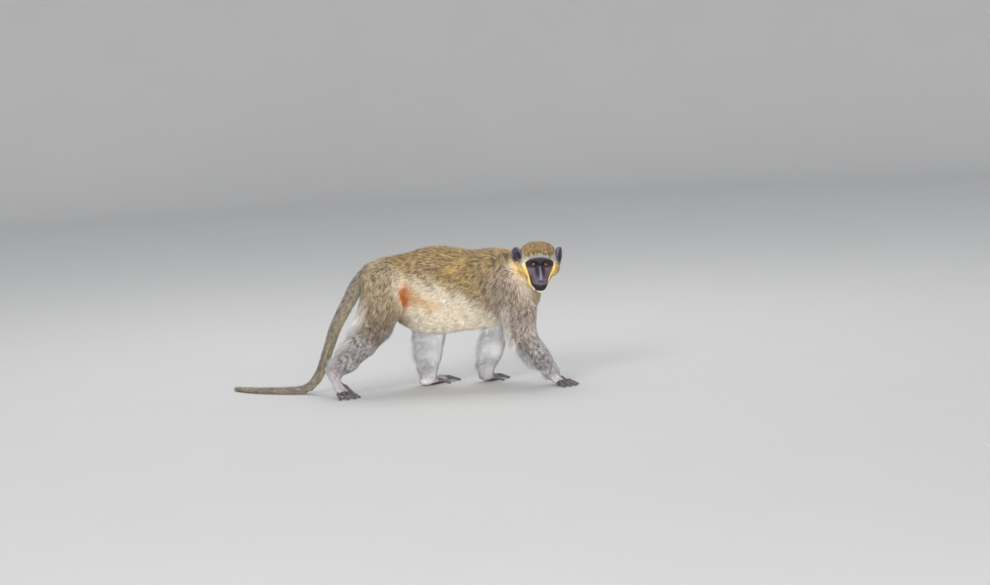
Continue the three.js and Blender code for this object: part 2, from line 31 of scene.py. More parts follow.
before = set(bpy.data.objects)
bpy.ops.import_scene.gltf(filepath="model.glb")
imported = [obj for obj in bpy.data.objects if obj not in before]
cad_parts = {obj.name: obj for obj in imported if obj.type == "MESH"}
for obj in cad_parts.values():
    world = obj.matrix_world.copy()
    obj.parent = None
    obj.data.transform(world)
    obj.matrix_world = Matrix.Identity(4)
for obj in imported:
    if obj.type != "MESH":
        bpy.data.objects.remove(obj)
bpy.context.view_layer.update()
draws = np.random.default_rng(7)
far = 900.0  # distance that stands for out of reach, mm
tiny = 1e-6
print("frame loaded,", len(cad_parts), "nodes")

body = {
    "middle": (-86, 2.8, 0),  # floor point under the middle of the whole animal
    "masses": {  # centre, half axes
        "pelvis": ((-94, 0, 252), (72, 49, 58)),
        "barrel": ((8, 0, 227), (130, 62, 101)),
        "chest": ((106, 0, 222), (112, 58, 89)),
        "breast": ((196, 0, 204), (46, 41, 48)),
        "bladeRight": ((134, -30, 272), (46, 27, 38)),
        "bladeLeft": ((134, 30, 272), (46, 27, 38)),
    },
    "neck": [(140, 0, 256, 50), (190, 7, 246, 45), (226, 2, 254, 38)],  # x, y, z, radius
    "neckFlatness": 0.78,
    "nape": [(132, 0, 280, 29), (190, 12, 286, 23)],
    "massBlend": 26,
    "limbBlend": 14,
    "upperBlend": 24,
    "headBlend": 16,
    "faceBlend": 9,
    "digitBlend": 3,
    "tailBlend": 10,
}

# Limb stations from the body outwards: x, y, z and radius out to the tips of the coat.
limbs = {
    "hindRight": {
        "flatness": 0.74,
        "upper": [(-122, -33, 256, 45), (-124, -44, 200, 45), (-138, -54, 160, 39)],
        "lower": [(-143, -56, 150, 35.5), (-172, -59, 119, 31.5), (-208, -61, 82, 25), (-234, -62, 61, 18)],
        "sole": [(-249, -57, 60, 13), (-222, -82, 9.5, 15)],
        "soleFlatness": 0.62,
        "pointing": -58,
        "digitLength": 34,
        "thumbBack": 26,
    },
    "hindLeft": {
        "flatness": 0.74,
        "upper": [(-120, 33, 254, 45), (-70, 41, 214, 44), (-28, 46, 170, 37)],
        "lower": [(-15, 48, 152, 36), (-19, 49, 112, 32), (-23, 49, 70, 26), (-26, 49, 30, 20)],
        "sole": [(-34, 44, 7.8, 15), (2, 88, 7.6, 15)],
        "soleFlatness": 0.62,
        "pointing": 47,
        "digitLength": 34,
        "thumbBack": 30,
    },
    "foreRight": {
        "flatness": 0.84,
        "upper": [(172, -36, 236, 38), (191, -48, 178, 37), (194, -53, 124, 31)],
        "lower": [(196, -54, 110, 29), (226, -56, 72, 24), (259, -58, 32, 16)],
        "sole": [(258, -58, 19, 13), (276, -75, 7.4, 13.5)],
        "soleFlatness": 0.64,
        "pointing": -42,
        "digitLength": 30,
        "thumbBack": 18,
    },
    "foreLeft": {
        "flatness": 0.84,
        "upper": [(168, 36, 234, 38), (154, 47, 180, 33), (143, 51, 128, 29)],
        "lower": [(140, 52, 116, 27), (121, 52, 70, 23), (107, 52, 26, 17)],
        "sole": [(106, 54, 10, 13), (122, 76, 7.2, 13.5)],
        "soleFlatness": 0.64,
        "pointing": 52,
        "digitLength": 30,
        "thumbBack": 18,
    },
}

digits = {
    "along": (0, 0.4, 0.75, 1),  # where a digit's knuckles are
    "lifts": (0, 5, 2.25, 0),
    "radii": (4.3, 3.9, 3.5, 2.9),
    "spacing": 6.8,
    "fan": 15,
    "lengths": (0.84, 1, 0.97, 0.8),
    "thumbLength": 0.72,
    "thumbTurn": 62,
    "thumbInset": 0.45,
    "rooted": 0.6,
    "tipHeight": 2.8,
}

tail = {
    "route": [
        (-150, 0, 276), (-172, 0, 254), (-203, 0, 205), (-233, 0, 153), (-257, 2, 92), (-279, 6, 42),
        (-308, 12, 13), (-352, 26, 8.6), (-402, 50, 7.6), (-448, 84, 6.4), (-484, 126, 5.2),
    ],
    "radii": (19, 13, 9.5, 6),  # at even steps along it
    "rods": 26,
}

# The head's own axes: forward out of the face, left, and up, from between the eyes.
head = {
    "origin": (243, -66, 278),
    "yaw": -86,
    "pitch": 5,
    "roll": -3.2,
    "masses": [
        ((-45, 0, 5), (53, 40, 38.5)),  # cranium
        ((-9, 0, 10), (13, 29, 12)),  # brow
        ((-15, 0, -10), (17, 30, 26)),  # face
        ((-42, -14, 17), (44, 25, 24.5)),  # crown
        ((-42, 14, 17), (44, 25, 24.5)),
        ((-33, -26, -10), (26, 21, 24)),  # cheeks
        ((-33, 26, -10), (26, 21, 24)),
        ((-47, -31, -14), (23, 19, 20)),  # ruffs
        ((-47, 31, -14), (23, 19, 20)),
        ((-34, 0, -38), (32, 27, 20)),  # throat
    ],
    "runs": [
        [(-8, 0, -24, 21), (17, 0, -36, 17.5)],  # muzzle
        [(-6, 0, 0, 8), (26, 0, -27, 8)],  # bridge of the nose
        [(-26, 0, -42, 18), (13, 0, -49, 11.5)],  # jaw
    ],
}

eye = {"radius": 8.5, "place": (-7, 14, 0), "orbit": 11, "orbitPlace": (8, 14, 0)}
earRoom = {"place": (-36, 60, 12), "radius": 19}  # hollow in the fur in front of each ear


# A vector over its own length.
def unit(v):
    return v / np.maximum(np.linalg.norm(v, axis=-1, keepdims=True), tiny)


# 1 at 0, falling away on both sides as exp(-(x / width)²).
def bell(x, width):
    return np.exp(-((x / width) ** 2))


# From one value to another by a share: a + (b - a) share.
def mixed(a, b, share):
    return a + (b - a) * share


# Share that goes from 0 to 1 across a width, a half where the difference is 0.
def crossing(difference, width):
    return np.clip(0.5 + difference / width, 0, 1)


# Which points lie inside a box.
def within(p, box):
    return np.all((p > box[0]) & (p < box[1]), axis=1)


# Points of a line at the wanted places, between those that it is given at.
def pointAlong(at, places, line):
    return np.stack([np.interp(at, places, line[:, i]) for i in range(3)], axis=1)


# Distance to a ball: length of the offset less the radius.
def ballDistance(p, centre, radius):
    return np.linalg.norm(p - np.asarray(centre, p.dtype), axis=1) - radius


# The three corners of each triangle.
def cornersOf(points, triangles):
    return (points[triangles[:, i]] for i in range(3))


# The three sides of all triangles, first sides first.
def sidesOf(triangles):
    return np.concatenate([triangles[:, [0, 1]], triangles[:, [1, 2]], triangles[:, [2, 0]]])


# 0 below the first edge, 1 above the second, 3t² - 2t³ between them.
def ramp(x, low, high):
    t = np.clip((x - low) / (high - low), 0, 1)
    return t * t * (3 - 2 * t)


# Smooth union: the smaller distance, rounded over a width k where both are close.
def blend(a, b, k):
    h = np.maximum(k - np.abs(a - b), 0) / k
    return np.minimum(a, b) - h * h * k / 4


# Distance to an ellipsoid, to first order: k0 (k0 - 1) / k1.
def massDistance(p, centre, radii):
    q = (p - np.array(centre, p.dtype)) / np.array(radii, p.dtype)
    k0 = np.sqrt(np.einsum("ij,ij->i", q, q))
    q = q / np.array(radii, p.dtype)
    k1 = np.sqrt(np.einsum("ij,ij->i", q, q))
    return k0 * (k0 - 1) / np.maximum(k1, tiny)


# Distance to a tapered rod, narrowed by flatness along the thin axis, and where along it, 0 to 1.
def rodDistance(p, start, end, flatness=1, thin=(0, 1, 0)):
    start, end, thin = (np.array(v, p.dtype) for v in (start, end, thin))
    along = end[:3] - start[:3]
    offset = p - start[:3]
    t = np.clip(offset @ along / (along @ along), 0, 1)
    offset = offset - t[:, None] * along
    radius = start[3] + t * (end[3] - start[3])
    if flatness == 1:
        return np.sqrt(np.einsum("ij,ij->i", offset, offset)) - radius, t
    squeeze = p.dtype.type(1 / flatness - 1)
    offset = offset + (offset @ thin * squeeze)[:, None] * thin
    slope = offset + (offset @ thin * squeeze)[:, None] * thin
    size = np.sqrt(np.einsum("ij,ij->i", offset, offset))
    steep = np.sqrt(np.einsum("ij,ij->i", slope, slope))
    return (size - radius) * size / np.maximum(steep, tiny), t


# Smooth union of the rods through some stations, and the place along them, from firsts to lasts.
def runDistance(p, stations, k, flatness=1, thin=(0, 1, 0), places=None):
    places = np.linspace(0, 1, len(stations)) if places is None else places
    distance, place = None, None
    for i in range(len(stations) - 1):
        one, t = rodDistance(p, stations[i], stations[i + 1], flatness, thin)
        here = (places[i] + t * (places[i + 1] - places[i])).astype(p.dtype)
        if distance is None:
            distance, place = one, here
        else:
            place = mixed(place, here, crossing(distance - one, 6))
            distance = blend(distance, one, k)
    return distance, place


# Turn about the upright axis, then the side axis, then the line ahead, in degrees.
def turnMatrix(yaw, pitch, roll):
    turn = Matrix.Rotation(math.radians(yaw), 3, "Z")
    turn = turn @ Matrix.Rotation(math.radians(pitch), 3, "Y")
    return np.array(turn @ Matrix.Rotation(math.radians(roll), 3, "X"))


headTurn = turnMatrix(head["yaw"], head["pitch"], head["roll"])
headOrigin = np.array(head["origin"], float)


# Body place to the head's own axes, and back.
def intoHead(p):
    return ((p - headOrigin) @ headTurn).astype(p.dtype)


def outOfHead(q):
    return q @ headTurn.T + headOrigin


# Stations of one limb's digits: roots spread across the ball, each turned a little further out.
def digitRuns(limb, side):
    heel, ball = (np.array(s[:3], float) for s in limb["sole"])
    ballRadius = limb["sole"][1][3]
    heading = math.radians(limb["pointing"])
    forward = np.array([math.cos(heading), math.sin(heading), 0])
    aside = np.array([-math.sin(heading), math.cos(heading), 0]) * side
    roots, turns, sizes = [], [], []
    for i, share in enumerate(digits["lengths"]):
        step = i - (len(digits["lengths"]) - 1) / 2
        roots.append(ball + aside * step * digits["spacing"])
        turns.append(math.radians(step * digits["fan"]))
        sizes.append(limb["digitLength"] * share + ballRadius * digits["rooted"])
    back = unit(ball - heel) * limb["thumbBack"]
    roots.append(ball - back - aside * ballRadius * digits["thumbInset"])
    turns.append(-math.radians(digits["thumbTurn"]))
    sizes.append(limb["digitLength"] * digits["thumbLength"] + ballRadius * digits["rooted"])
    runs = []
    for root, turn, size in zip(roots, turns, sizes):
        way = forward * math.cos(turn) + aside * math.sin(turn)
        run = []
        for t, lift, radius in zip(digits["along"], digits["lifts"], digits["radii"]):
            place = root + way * t * size
            place[2] = root[2] + (digits["tipHeight"] - root[2]) * t + lift
            run.append((*place, radius))
        runs.append(run)
    return runs


# Lowest and highest corner of some stations, with a margin.
def boxOf(stations, margin):
    stations = np.array(stations, float)
    return stations[:, :3].min(0) - margin, stations[:, :3].max(0) + margin


for name, limb in limbs.items():
    limb["side"] = -1 if name.endswith("Right") else 1
    limb["digits"] = digitRuns(limb, limb["side"])
    every = limb["upper"] + limb["lower"] + limb["sole"] + [s for run in limb["digits"] for s in run]
    limb["box"] = boxOf(every, 75)
    limb["digitBox"] = boxOf([s for run in limb["digits"] for s in run] + limb["sole"], 22)
    heel, ball = (np.array(s[:3], float) for s in limb["sole"])
    along = unit(ball - heel)
    limb["soleThin"] = tuple(unit(np.array([0, 0, 1.0]) - along * along[2]))
    limb["upperPlaces"] = np.linspace(0, 1, len(limb["upper"]))
    limb["lowerPlaces"] = np.linspace(1.08, 2, len(limb["lower"]))
    limb["solePlaces"] = np.array([2.15, 2.9])
    limb["axis"] = np.array(limb["upper"] + limb["lower"] + limb["sole"], float)[:, :3]
    limb["axisPlaces"] = np.concatenate([limb["upperPlaces"], limb["lowerPlaces"], limb["solePlaces"]])


# Centripetal Catmull-Rom curve through the points, resampled at even steps of length.
def smoothRoute(points, count):
    p = np.array(points, float)
    p = np.concatenate([[2 * p[0] - p[1]], p, [2 * p[-1] - p[-2]]])
    t = np.linspace(0, 1, 24, endpoint=False)[:, None]
    pieces = []
    for a, b, c, d in zip(p, p[1:], p[2:], p[3:]):
        ab, bc, cd = (np.linalg.norm(v) ** 0.5 for v in (b - a, c - b, d - c))
        leave = ((b - a) / ab - (c - a) / (ab + bc) + (c - b) / bc) * bc
        arrive = ((c - b) / bc - (d - b) / (bc + cd) + (d - c) / cd) * bc
        bend = 2 * b - 2 * c + leave + arrive
        pieces.append(b + leave * t + (3 * (c - b) - 2 * leave - arrive) * t**2 + bend * t**3)
    line = np.concatenate(pieces + [p[-2:-1]])
    length = np.concatenate([[0], np.cumsum(np.linalg.norm(np.diff(line, axis=0), axis=1))])
    at = np.linspace(0, length[-1], count)
    return pointAlong(at, length, line)


tailLine = smoothRoute(tail["route"], tail["rods"] + 1)
tailPlaces = np.linspace(0, 1, tail["rods"] + 1)
tailRadii = np.interp(tailPlaces, np.linspace(0, 1, len(tail["radii"])), tail["radii"])
tailStations = [(*at, radius) for at, radius in zip(tailLine, tailRadii)]
tailBox = boxOf(tailStations, 45)
headBox = (headOrigin - 150, headOrigin + 110)

regions = ["trunk", "neck", "head", *limbs, "tail"]


# Smooth union of the head's masses and runs, less a hollow for each eye.
def headDistance(p):
    q = intoHead(p)
    distance = massDistance(q, *head["masses"][0])
    for mass in head["masses"][1:]:
        distance = blend(distance, massDistance(q, *mass), body["faceBlend"])
    for run in head["runs"]:
        distance = blend(distance, runDistance(q, run, 1)[0], body["faceBlend"])
    for side in (-1, 1):
        hollow = ballDistance(q, np.array(eye["orbitPlace"]) * (1, side, 1), eye["orbit"])
        distance = -blend(-distance, hollow, body["digitBlend"])
    return distance


# Hollows out the fur in front of both ears.
def openEars(distance, p):
    q = intoHead(p)
    for side in (-1, 1):
        hollow = ballDistance(q, np.array(earRoom["place"]) * (1, side, 1), earRoom["radius"])
        distance = -blend(-distance, hollow, body["faceBlend"])
    return distance


# Upper limb, whole limb and place along it, 0 at the body, 1 knee, 2 ankle, 3 knuckles, 4 tips.
def limbDistance(p, limb):
    flat = limb["flatness"]
    upper, place = runDistance(p, limb["upper"], body["limbBlend"], flat, places=limb["upperPlaces"])
    lower, lowPlace = runDistance(p, limb["lower"], body["limbBlend"], flat, places=limb["lowerPlaces"])
    sole, solePlace = runDistance(p, limb["sole"], body["digitBlend"], limb["soleFlatness"],
                                  limb["soleThin"], limb["solePlaces"])
    place = mixed(place, lowPlace, crossing(upper - lower, 16))
    chain = blend(upper, lower, body["limbBlend"])
    place = mixed(place, solePlace, crossing(chain - sole, 10))
    chain = blend(chain, sole, body["limbBlend"])
    close = within(p, limb["digitBox"])
    if close.any():
        near, palm, palmPlace = p[close], chain[close], place[close]
        for run in limb["digits"]:
            digit, along = runDistance(near, run, 1, places=(3, 3.4, 3.75, 4))
            palmPlace = mixed(palmPlace, along, crossing(palm - digit, 3))
            palm = blend(palm, digit, body["digitBlend"])
        chain[close], place[close] = palm, palmPlace
    return upper, chain, place


# Signed distance to the tips of the coat. With parts, also each region's own distance and place.
def outline(p, parts=False):
    kind = p.dtype
    distances = np.full((len(p), len(regions)), far, kind)
    places = np.zeros((len(p), len(regions)), kind)
    core = None
    for centre, radii in body["masses"].values():
        one = massDistance(p, centre, radii)
        core = one if core is None else blend(core, one, body["massBlend"])
    distances[:, 0] = core
    neck, _ = runDistance(p, body["neck"], body["limbBlend"], body["neckFlatness"])
    core = blend(core, neck, body["massBlend"])
    nape, _ = runDistance(p, body["nape"], body["limbBlend"])
    core = blend(core, nape, body["limbBlend"])
    distances[:, 1] = np.minimum(neck, nape)
    chains = []
    for column, limb in enumerate(limbs.values(), regions.index("hindRight")):
        close = within(p, limb["box"])
        if not close.any():
            continue
        upper, chain, place = limbDistance(p[close], limb)
        distances[close, column], places[close, column] = chain, place
        core[close] = blend(core[close], upper, body["upperBlend"])
        chains.append((close, chain))
    for close, chain in chains:
        core[close] = blend(core[close], chain, body["digitBlend"])
    close = within(p, headBox)
    if close.any():
        distances[close, 2] = headDistance(p[close])
        core[close] = blend(core[close], distances[close, 2], body["headBlend"])
        core[close] = openEars(core[close], p[close])
    close = within(p, tailBox)
    if close.any():
        one, place = runDistance(p[close], tailStations, 2, places=tailPlaces)
        distances[close, -1], places[close, -1] = one, place
        core[close] = blend(core[close], one, body["tailBlend"])
    return (core, distances, places) if parts else core


# Runs a function on blocks of the points side by side and joins what it returns.
def inBlocks(function, p, size=24000):
    blocks = [p[i : i + size] for i in range(0, len(p), size)]
    with ThreadPoolExecutor(4) as pool:
        found = list(pool.map(function, blocks))
    if isinstance(found[0], tuple):
        return tuple(np.concatenate(part) for part in zip(*found))
    return np.concatenate(found)


# Shares of the regions at a point, from how near each one is.
def sharesOf(distances, softness):
    nearest = distances.min(axis=1, keepdims=True)
    shares = np.exp(-(distances - nearest) / softness)
    return shares / shares.sum(axis=1, keepdims=True)


coat = {
    "trunkDepth": 9,
    "neckDepth": 9,
    "crownDepth": 6,
    "ruffDepth": 9,
    "limbPlaces": (0, 0.8, 1.3, 1.8, 2.2, 2.7, 3.1, 3.5),
    "limbDepths": (9, 8, 6, 4, 1.8, 0.9, 0.5, 0.2),
    "tailDepths": (7, 5, 4, 3),
}

face = {
    "heights": (-58, -54.5, -50, -46, -39, -28, -17, -5.5, 1, 6, 10, 13.5, 16.2, 17.8),  # up, mm
    "halfWidths": (4, 11.5, 16, 18.5, 20.4, 23, 27, 31, 32.5, 31.5, 28, 22, 14, 4),
    "edge": 3,
    "back": -30,
    "middle": (0, 0, -20),
    "fringe": 0.955,
    "steps": (1, 0.94, 0.88, 0.82),
}


# 1 on the bare face, 0 in the fur: inside a half width that changes with height.
def bareFace(q):
    half = np.interp(q[:, 2], face["heights"], face["halfWidths"])
    inside = ramp(half - np.abs(q[:, 1]), -face["edge"] / 2, face["edge"] / 2)
    low = ramp(q[:, 2], face["heights"][0] - 2, face["heights"][0] + 3)
    high = 1 - ramp(q[:, 2], face["heights"][-1] - 1.5, face["heights"][-1] + 1.5)
    return inside * low * high * ramp(q[:, 0], face["back"] - 4, face["back"] + 4)


# 1 on the bare face, falling away in steps over the fur round it.
def faceSlope(q):
    middle = np.array(face["middle"], q.dtype)
    return sum(bareFace(middle + (q - middle) * step) for step in face["steps"]) / len(face["steps"])


# 1 in the narrow fringe of fur round the bare face.
def faceFringe(q):
    middle = np.array(face["middle"], q.dtype)
    return bareFace(middle + (q - middle) * face["fringe"]) * (1 - bareFace(q))


# Depth of the coat: each region's own, mixed by its share, and 0 on the bare face.
def coatDepth(p, distances, places):
    shares = sharesOf(distances, 5)
    q = intoHead(p)
    ruff = ramp(np.abs(q[:, 1]), 22, 38) * (1 - ramp(q[:, 2], 0, 14))
    headDepth = mixed(coat["crownDepth"], coat["ruffDepth"], ruff)
    depths = np.empty_like(distances)
    depths[:, 0] = coat["trunkDepth"]
    depths[:, 1] = coat["neckDepth"]
    depths[:, 2] = headDepth
    for column in range(3, 7):
        depths[:, column] = np.interp(places[:, column], coat["limbPlaces"], coat["limbDepths"])
    depths[:, 7] = np.interp(places[:, 7], np.linspace(0, 1, 4), coat["tailDepths"])
    depth = (shares * depths).sum(axis=1)
    return depth * (1 - faceSlope(q) * ramp(30 - distances[:, 2], 0, 20))


lids = {
    "ball": 9.7,
    "socket": 8.1,
    "halfWidth": 0.76,  # of the opening, radians round the eye
    "halfHeight": 0.46,
    "rise": 0.0,
    "join": 3,
}

features = {
    "browArc": [(1.5, 4, 10.5, 4.6), (0, 15, 12.2, 4.8), (-7, 26, 8.5, 4.4)],
    "browBlend": 6,
    "wing": ((30.5, 4.6, -30.5), 3.1),  # side of a nostril: centre, radius
    "nostril": ((35.2, 3.1, -32.4), (3.0, 0.8, 2.1)),
    "mouthUp": -48.5,
    "mouthCurl": 0.012,
    "mouthHalf": 15,
}


# Height of the eye's opening over its middle line, less half its width there: below 0 it is open.
def lidOpening(q):
    v = q - np.array(eye["place"], q.dtype)
    r = np.linalg.norm(v, axis=1)
    across = np.arctan2(v[:, 1], np.maximum(v[:, 0], 0.5))
    up = np.arcsin(np.clip(v[:, 2] / np.maximum(r, tiny), -1, 1))
    reach = np.abs(across) / lids["halfWidth"]
    half = lids["halfHeight"] * np.sqrt(np.clip(1 - reach**2, 0, 1)) - 0.5 * np.maximum(reach - 1, 0)
    middleLine = lids["rise"] + 0.06 * across
    return (np.abs(up - middleLine) - half) * 9, up - middleLine, r, v


# The skin's bare features, as changes to the distance d in the head's axes, the same on both sides.
def faceFeatures(q, d):
    q = q.copy()
    q[:, 1] = np.abs(q[:, 1])
    brow, _ = runDistance(q, features["browArc"], 2)
    d = blend(d, brow, features["browBlend"])
    opening, up, r, v = lidOpening(q)
    d = blend(d, r - lids["ball"], lids["join"])
    front = ramp(v[:, 0], -1, 2)
    d = d - 0.45 * bell(opening - 0.7, 0.6) * front * (1 - ramp(r, 10.5, 12.5))  # lid rims
    crease = bell(opening - 3.4, 0.9) * ramp(up, 0.1, 0.4)
    d = d + 0.6 * crease * front * (1 - ramp(r, 11.5, 14))  # fold over the upper lid
    cut = np.maximum(opening, lids["socket"] - r)
    d = -blend(-d, cut, 0.5)  # the opening, down to the eye
    spread = np.hypot(q[:, 1] - eye["place"][1], q[:, 2] * 1.1)
    under = ramp(-q[:, 2], 1, 6) * ramp(q[:, 0], -14, -4)
    d = d + 0.7 * bell(spread - 13, 1.3) * under  # folds under the eye
    d = d + 0.4 * bell(spread - 17.5, 1.2) * under
    crease = q[:, 1] - (9.5 + 0.05 * (q[:, 2] + 30))
    side = bell(crease, 2.2) * ramp(-q[:, 2], 8, 14) * (1 - ramp(-q[:, 2], 28, 36))
    d = d + 0.9 * side * ramp(q[:, 0], 0, 8)  # furrow beside the nose
    d = blend(d, ballDistance(q, *features["wing"]), 3)
    nostrilAt, nostrilRadii = features["nostril"]
    tilted = q - np.array(nostrilAt, q.dtype)
    tilted = np.stack([tilted[:, 0], tilted[:, 1] * 0.86 - tilted[:, 2] * 0.5,
                       tilted[:, 1] * 0.5 + tilted[:, 2] * 0.86], axis=1)
    d = -blend(-d, massDistance(tilted, (0, 0, 0), nostrilRadii), 0.8)
    line = q[:, 2] - (features["mouthUp"] + features["mouthCurl"] * q[:, 1] ** 2)
    reach = (1 - ramp(q[:, 1], features["mouthHalf"] - 3, features["mouthHalf"] + 1)) * ramp(q[:, 0], -6, 4)
    d = d + 1.1 * bell(line, 0.9) * reach  # between the lips
    d = d - 0.4 * bell(line - 2.4, 1.6) * reach  # upper lip
    d = d - 0.3 * bell(line + 2.4, 1.7) * reach  # lower lip
    down = ramp(-q[:, 2], -3, 5) * (1 - ramp(-q[:, 2], 26, 31)) * ramp(q[:, 0], -2, 4)
    d = d - 0.9 * bell(q[:, 1], 2.3) * down  # ridge of the nose
    d = d + 0.9 * bell(q[:, 1] - 6.2, 2.4) * down  # hollows beside it
    groove = bell(q[:, 1], 1.1) * ramp(-q[:, 2], 34, 36.5) * (1 - ramp(-q[:, 2], 41, 44))
    return d + 0.5 * groove * ramp(q[:, 0], 20, 28)


# Signed distance to the skin: the outline less the coat's depth, with the face's features.
def skinDistance(p):
    d, distances, places = outline(p, parts=True)
    d = d + coatDepth(p, distances, places)
    q = intoHead(p)
    close = (q[:, 0] > -20) & (np.abs(q[:, 1]) < 36) & (q[:, 2] > -60) & (q[:, 2] < 24)
    if close.any():
        bare = bareFace(q[close])
        d[close] = mixed(d[close], faceFeatures(q[close], d[close]), bare)
    return -blend(-d, p[:, 2] - 0.15, 1.2)


# Slope of a field by differences ahead of and behind each point along x, y and z.
def slopeOf(field, p, step=0.4):
    slope = np.empty_like(p)
    for axis in range(3):
        shift = np.zeros(3, p.dtype)
        shift[axis] = step
        slope[:, axis] = (field(p + shift) - field(p - shift)) / (2 * step)
    return slope


# Newton steps along the slope to where the field has the wanted value.
def drawOnto(field, p, value=0.0, steps=2, most=2.0):
    for _ in range(steps):
        slope = slopeOf(field, p)
        steep = np.maximum(np.einsum("ij,ij->i", slope, slope), 0.2)
        move = slope * ((value - field(p)) / steep)[:, None]
        size = np.linalg.norm(move, axis=1, keepdims=True)
        p = p + move * np.minimum(1, most / np.maximum(size, tiny))
    return p


skinGrid = {
    "cell": 3.2,
    "low": (-496, -134, -4),
    "high": (324, 140, 338),
    "coarse": 4,  # cells of a first look, to leave out what is far from the skin
    "band": 16,
}


# Points of a regular grid above its low corner, in rows.
def gridPoints(low, number, size, shift):
    axes = [low[i] + (np.arange(number[i], dtype=np.float32) + shift) * size for i in range(3)]
    return np.stack(np.meshgrid(*axes, indexing="ij"), axis=-1).reshape(-1, 3)


# Values of the skin's field on a grid, worked out only near the skin.
def gridValues():
    cell, coarse = skinGrid["cell"], skinGrid["coarse"]
    low = np.array(skinGrid["low"], np.float32)
    counts = np.ceil((np.array(skinGrid["high"]) - low) / (cell * coarse)).astype(int)
    rough = inBlocks(outline, gridPoints(low, counts, cell * coarse, 0.5)).reshape(counts)
    for axis in range(3):
        rough = np.repeat(rough, coarse, axis=axis)
    values = rough.reshape(-1).astype(np.float32)
    close = np.abs(values + 4) < skinGrid["band"]
    points = gridPoints(low, counts * coarse, cell, 0.0)
    values[close] = inBlocks(skinDistance, points[close])
    return values.reshape(counts * coarse), low


# Surface nets: one vertex in each cell that the surface crosses, at the mean of the crossings on
# its edges, and one quad round each grid edge that it crosses.
def surfaceNet(values, low):
    inside = values < 0
    corners = np.stack(np.meshgrid([0, 1], [0, 1], [0, 1], indexing="ij"), axis=-1).reshape(-1, 3)
    shape = np.array(values.shape) - 1
    count = np.zeros(shape, np.int8)
    for i, j, k in corners:
        count += inside[i : shape[0] + i, j : shape[1] + j, k : shape[2] + k]
    cells = np.argwhere((count > 0) & (count < 8))
    total, crossings = np.zeros((len(cells), 3)), np.zeros(len(cells))
    for axis in range(3):
        step = np.eye(3, dtype=int)[axis]
        for corner in corners[corners[:, axis] == 0]:
            a = values[tuple((cells + corner).T)]
            b = values[tuple((cells + corner + step).T)]
            crossed = (a < 0) != (b < 0)
            t = np.where(crossed, a / np.where(crossed, a - b, 1), 0)
            total += crossed[:, None] * (corner + step * t[:, None])
            crossings += crossed
    points = low + (cells + total / crossings[:, None]) * skinGrid["cell"]
    number = np.full(shape, -1)
    number[tuple(cells.T)] = np.arange(len(cells))
    quads = []
    for axis in range(3):
        step = np.eye(3, dtype=int)[axis]
        one, two = np.eye(3, dtype=int)[(axis + 1) % 3], np.eye(3, dtype=int)[(axis + 2) % 3]
        ahead = np.roll(inside, -1, axis=axis)
        edges = np.argwhere(inside != ahead)
        good = (edges + step < np.array(values.shape)).all(axis=1) & (edges - one - two >= 0).all(axis=1)
        edges = edges[good]
        ring = [number[tuple((edges - shift).T)] for shift in (0 * one, one, one + two, two)]
        ring = np.stack(ring, axis=1)
        flip = ~inside[tuple(edges.T)]
        ring[flip] = ring[flip][:, ::-1]
        quads.append(ring)
    quads = np.concatenate(quads)
    return points, np.concatenate([quads[:, [0, 1, 2]], quads[:, [0, 2, 3]]])


# Splits each marked triangle in four at its edges' midpoints, and its neighbours to match.
def refine(points, triangles, marked):
    sides = np.sort(sidesOf(triangles), axis=1)
    keys = sides[:, 0].astype(np.int64) * len(points) + sides[:, 1]
    known, back = np.unique(keys, return_inverse=True)
    back = back.reshape(3, -1).T
    cut = np.zeros(len(known), bool)
    cut[back[marked].reshape(-1)] = True
    middle = np.full(len(known), -1)
    middle[cut] = len(points) + np.arange(cut.sum())
    ends = np.stack([known[cut] // len(points), known[cut] % len(points)], axis=1)
    points = np.concatenate([points, points[ends].mean(axis=1)])
    mids = middle[back]
    cuts = (mids >= 0).sum(axis=1)
    turn = np.where(cuts == 1, np.argmax(mids >= 0, axis=1), np.argmin(mids >= 0, axis=1))
    turn[(cuts == 0) | (cuts == 3)] = 0
    order = (turn[:, None] + np.arange(3)) % 3
    a, b, c = np.take_along_axis(triangles, order, axis=1).T
    ab, bc, ca = np.take_along_axis(mids, order, axis=1).T
    none, one, two, three = (cuts == n for n in range(4))
    pieces = [triangles[none]]
    for mask, corners in (
        (one, [(a, ab, c), (ab, b, c)]),
        (two, [(bc, c, ca), (a, b, bc), (a, bc, ca)]),
        (three, [(a, ab, ca), (ab, b, bc), (ca, bc, c), (ab, bc, ca)]),
    ):
        pieces += [np.stack([corner[mask] for corner in triangle], axis=1) for triangle in corners]
    return points, np.concatenate(pieces)


# Moves the marked vertices part of the way to the mean of their neighbours.
def relax(points, triangles, marked, share=0.5):
    sides = sidesOf(triangles)
    count = np.bincount(sides[:, 0], minlength=len(points))
    mean = [np.bincount(sides[:, 0], points[sides[:, 1], axis], len(points)) for axis in range(3)]
    mean = np.stack(mean, axis=1) / np.maximum(count, 1)[:, None]
    return np.where(marked[:, None], mixed(points, mean, share), points)


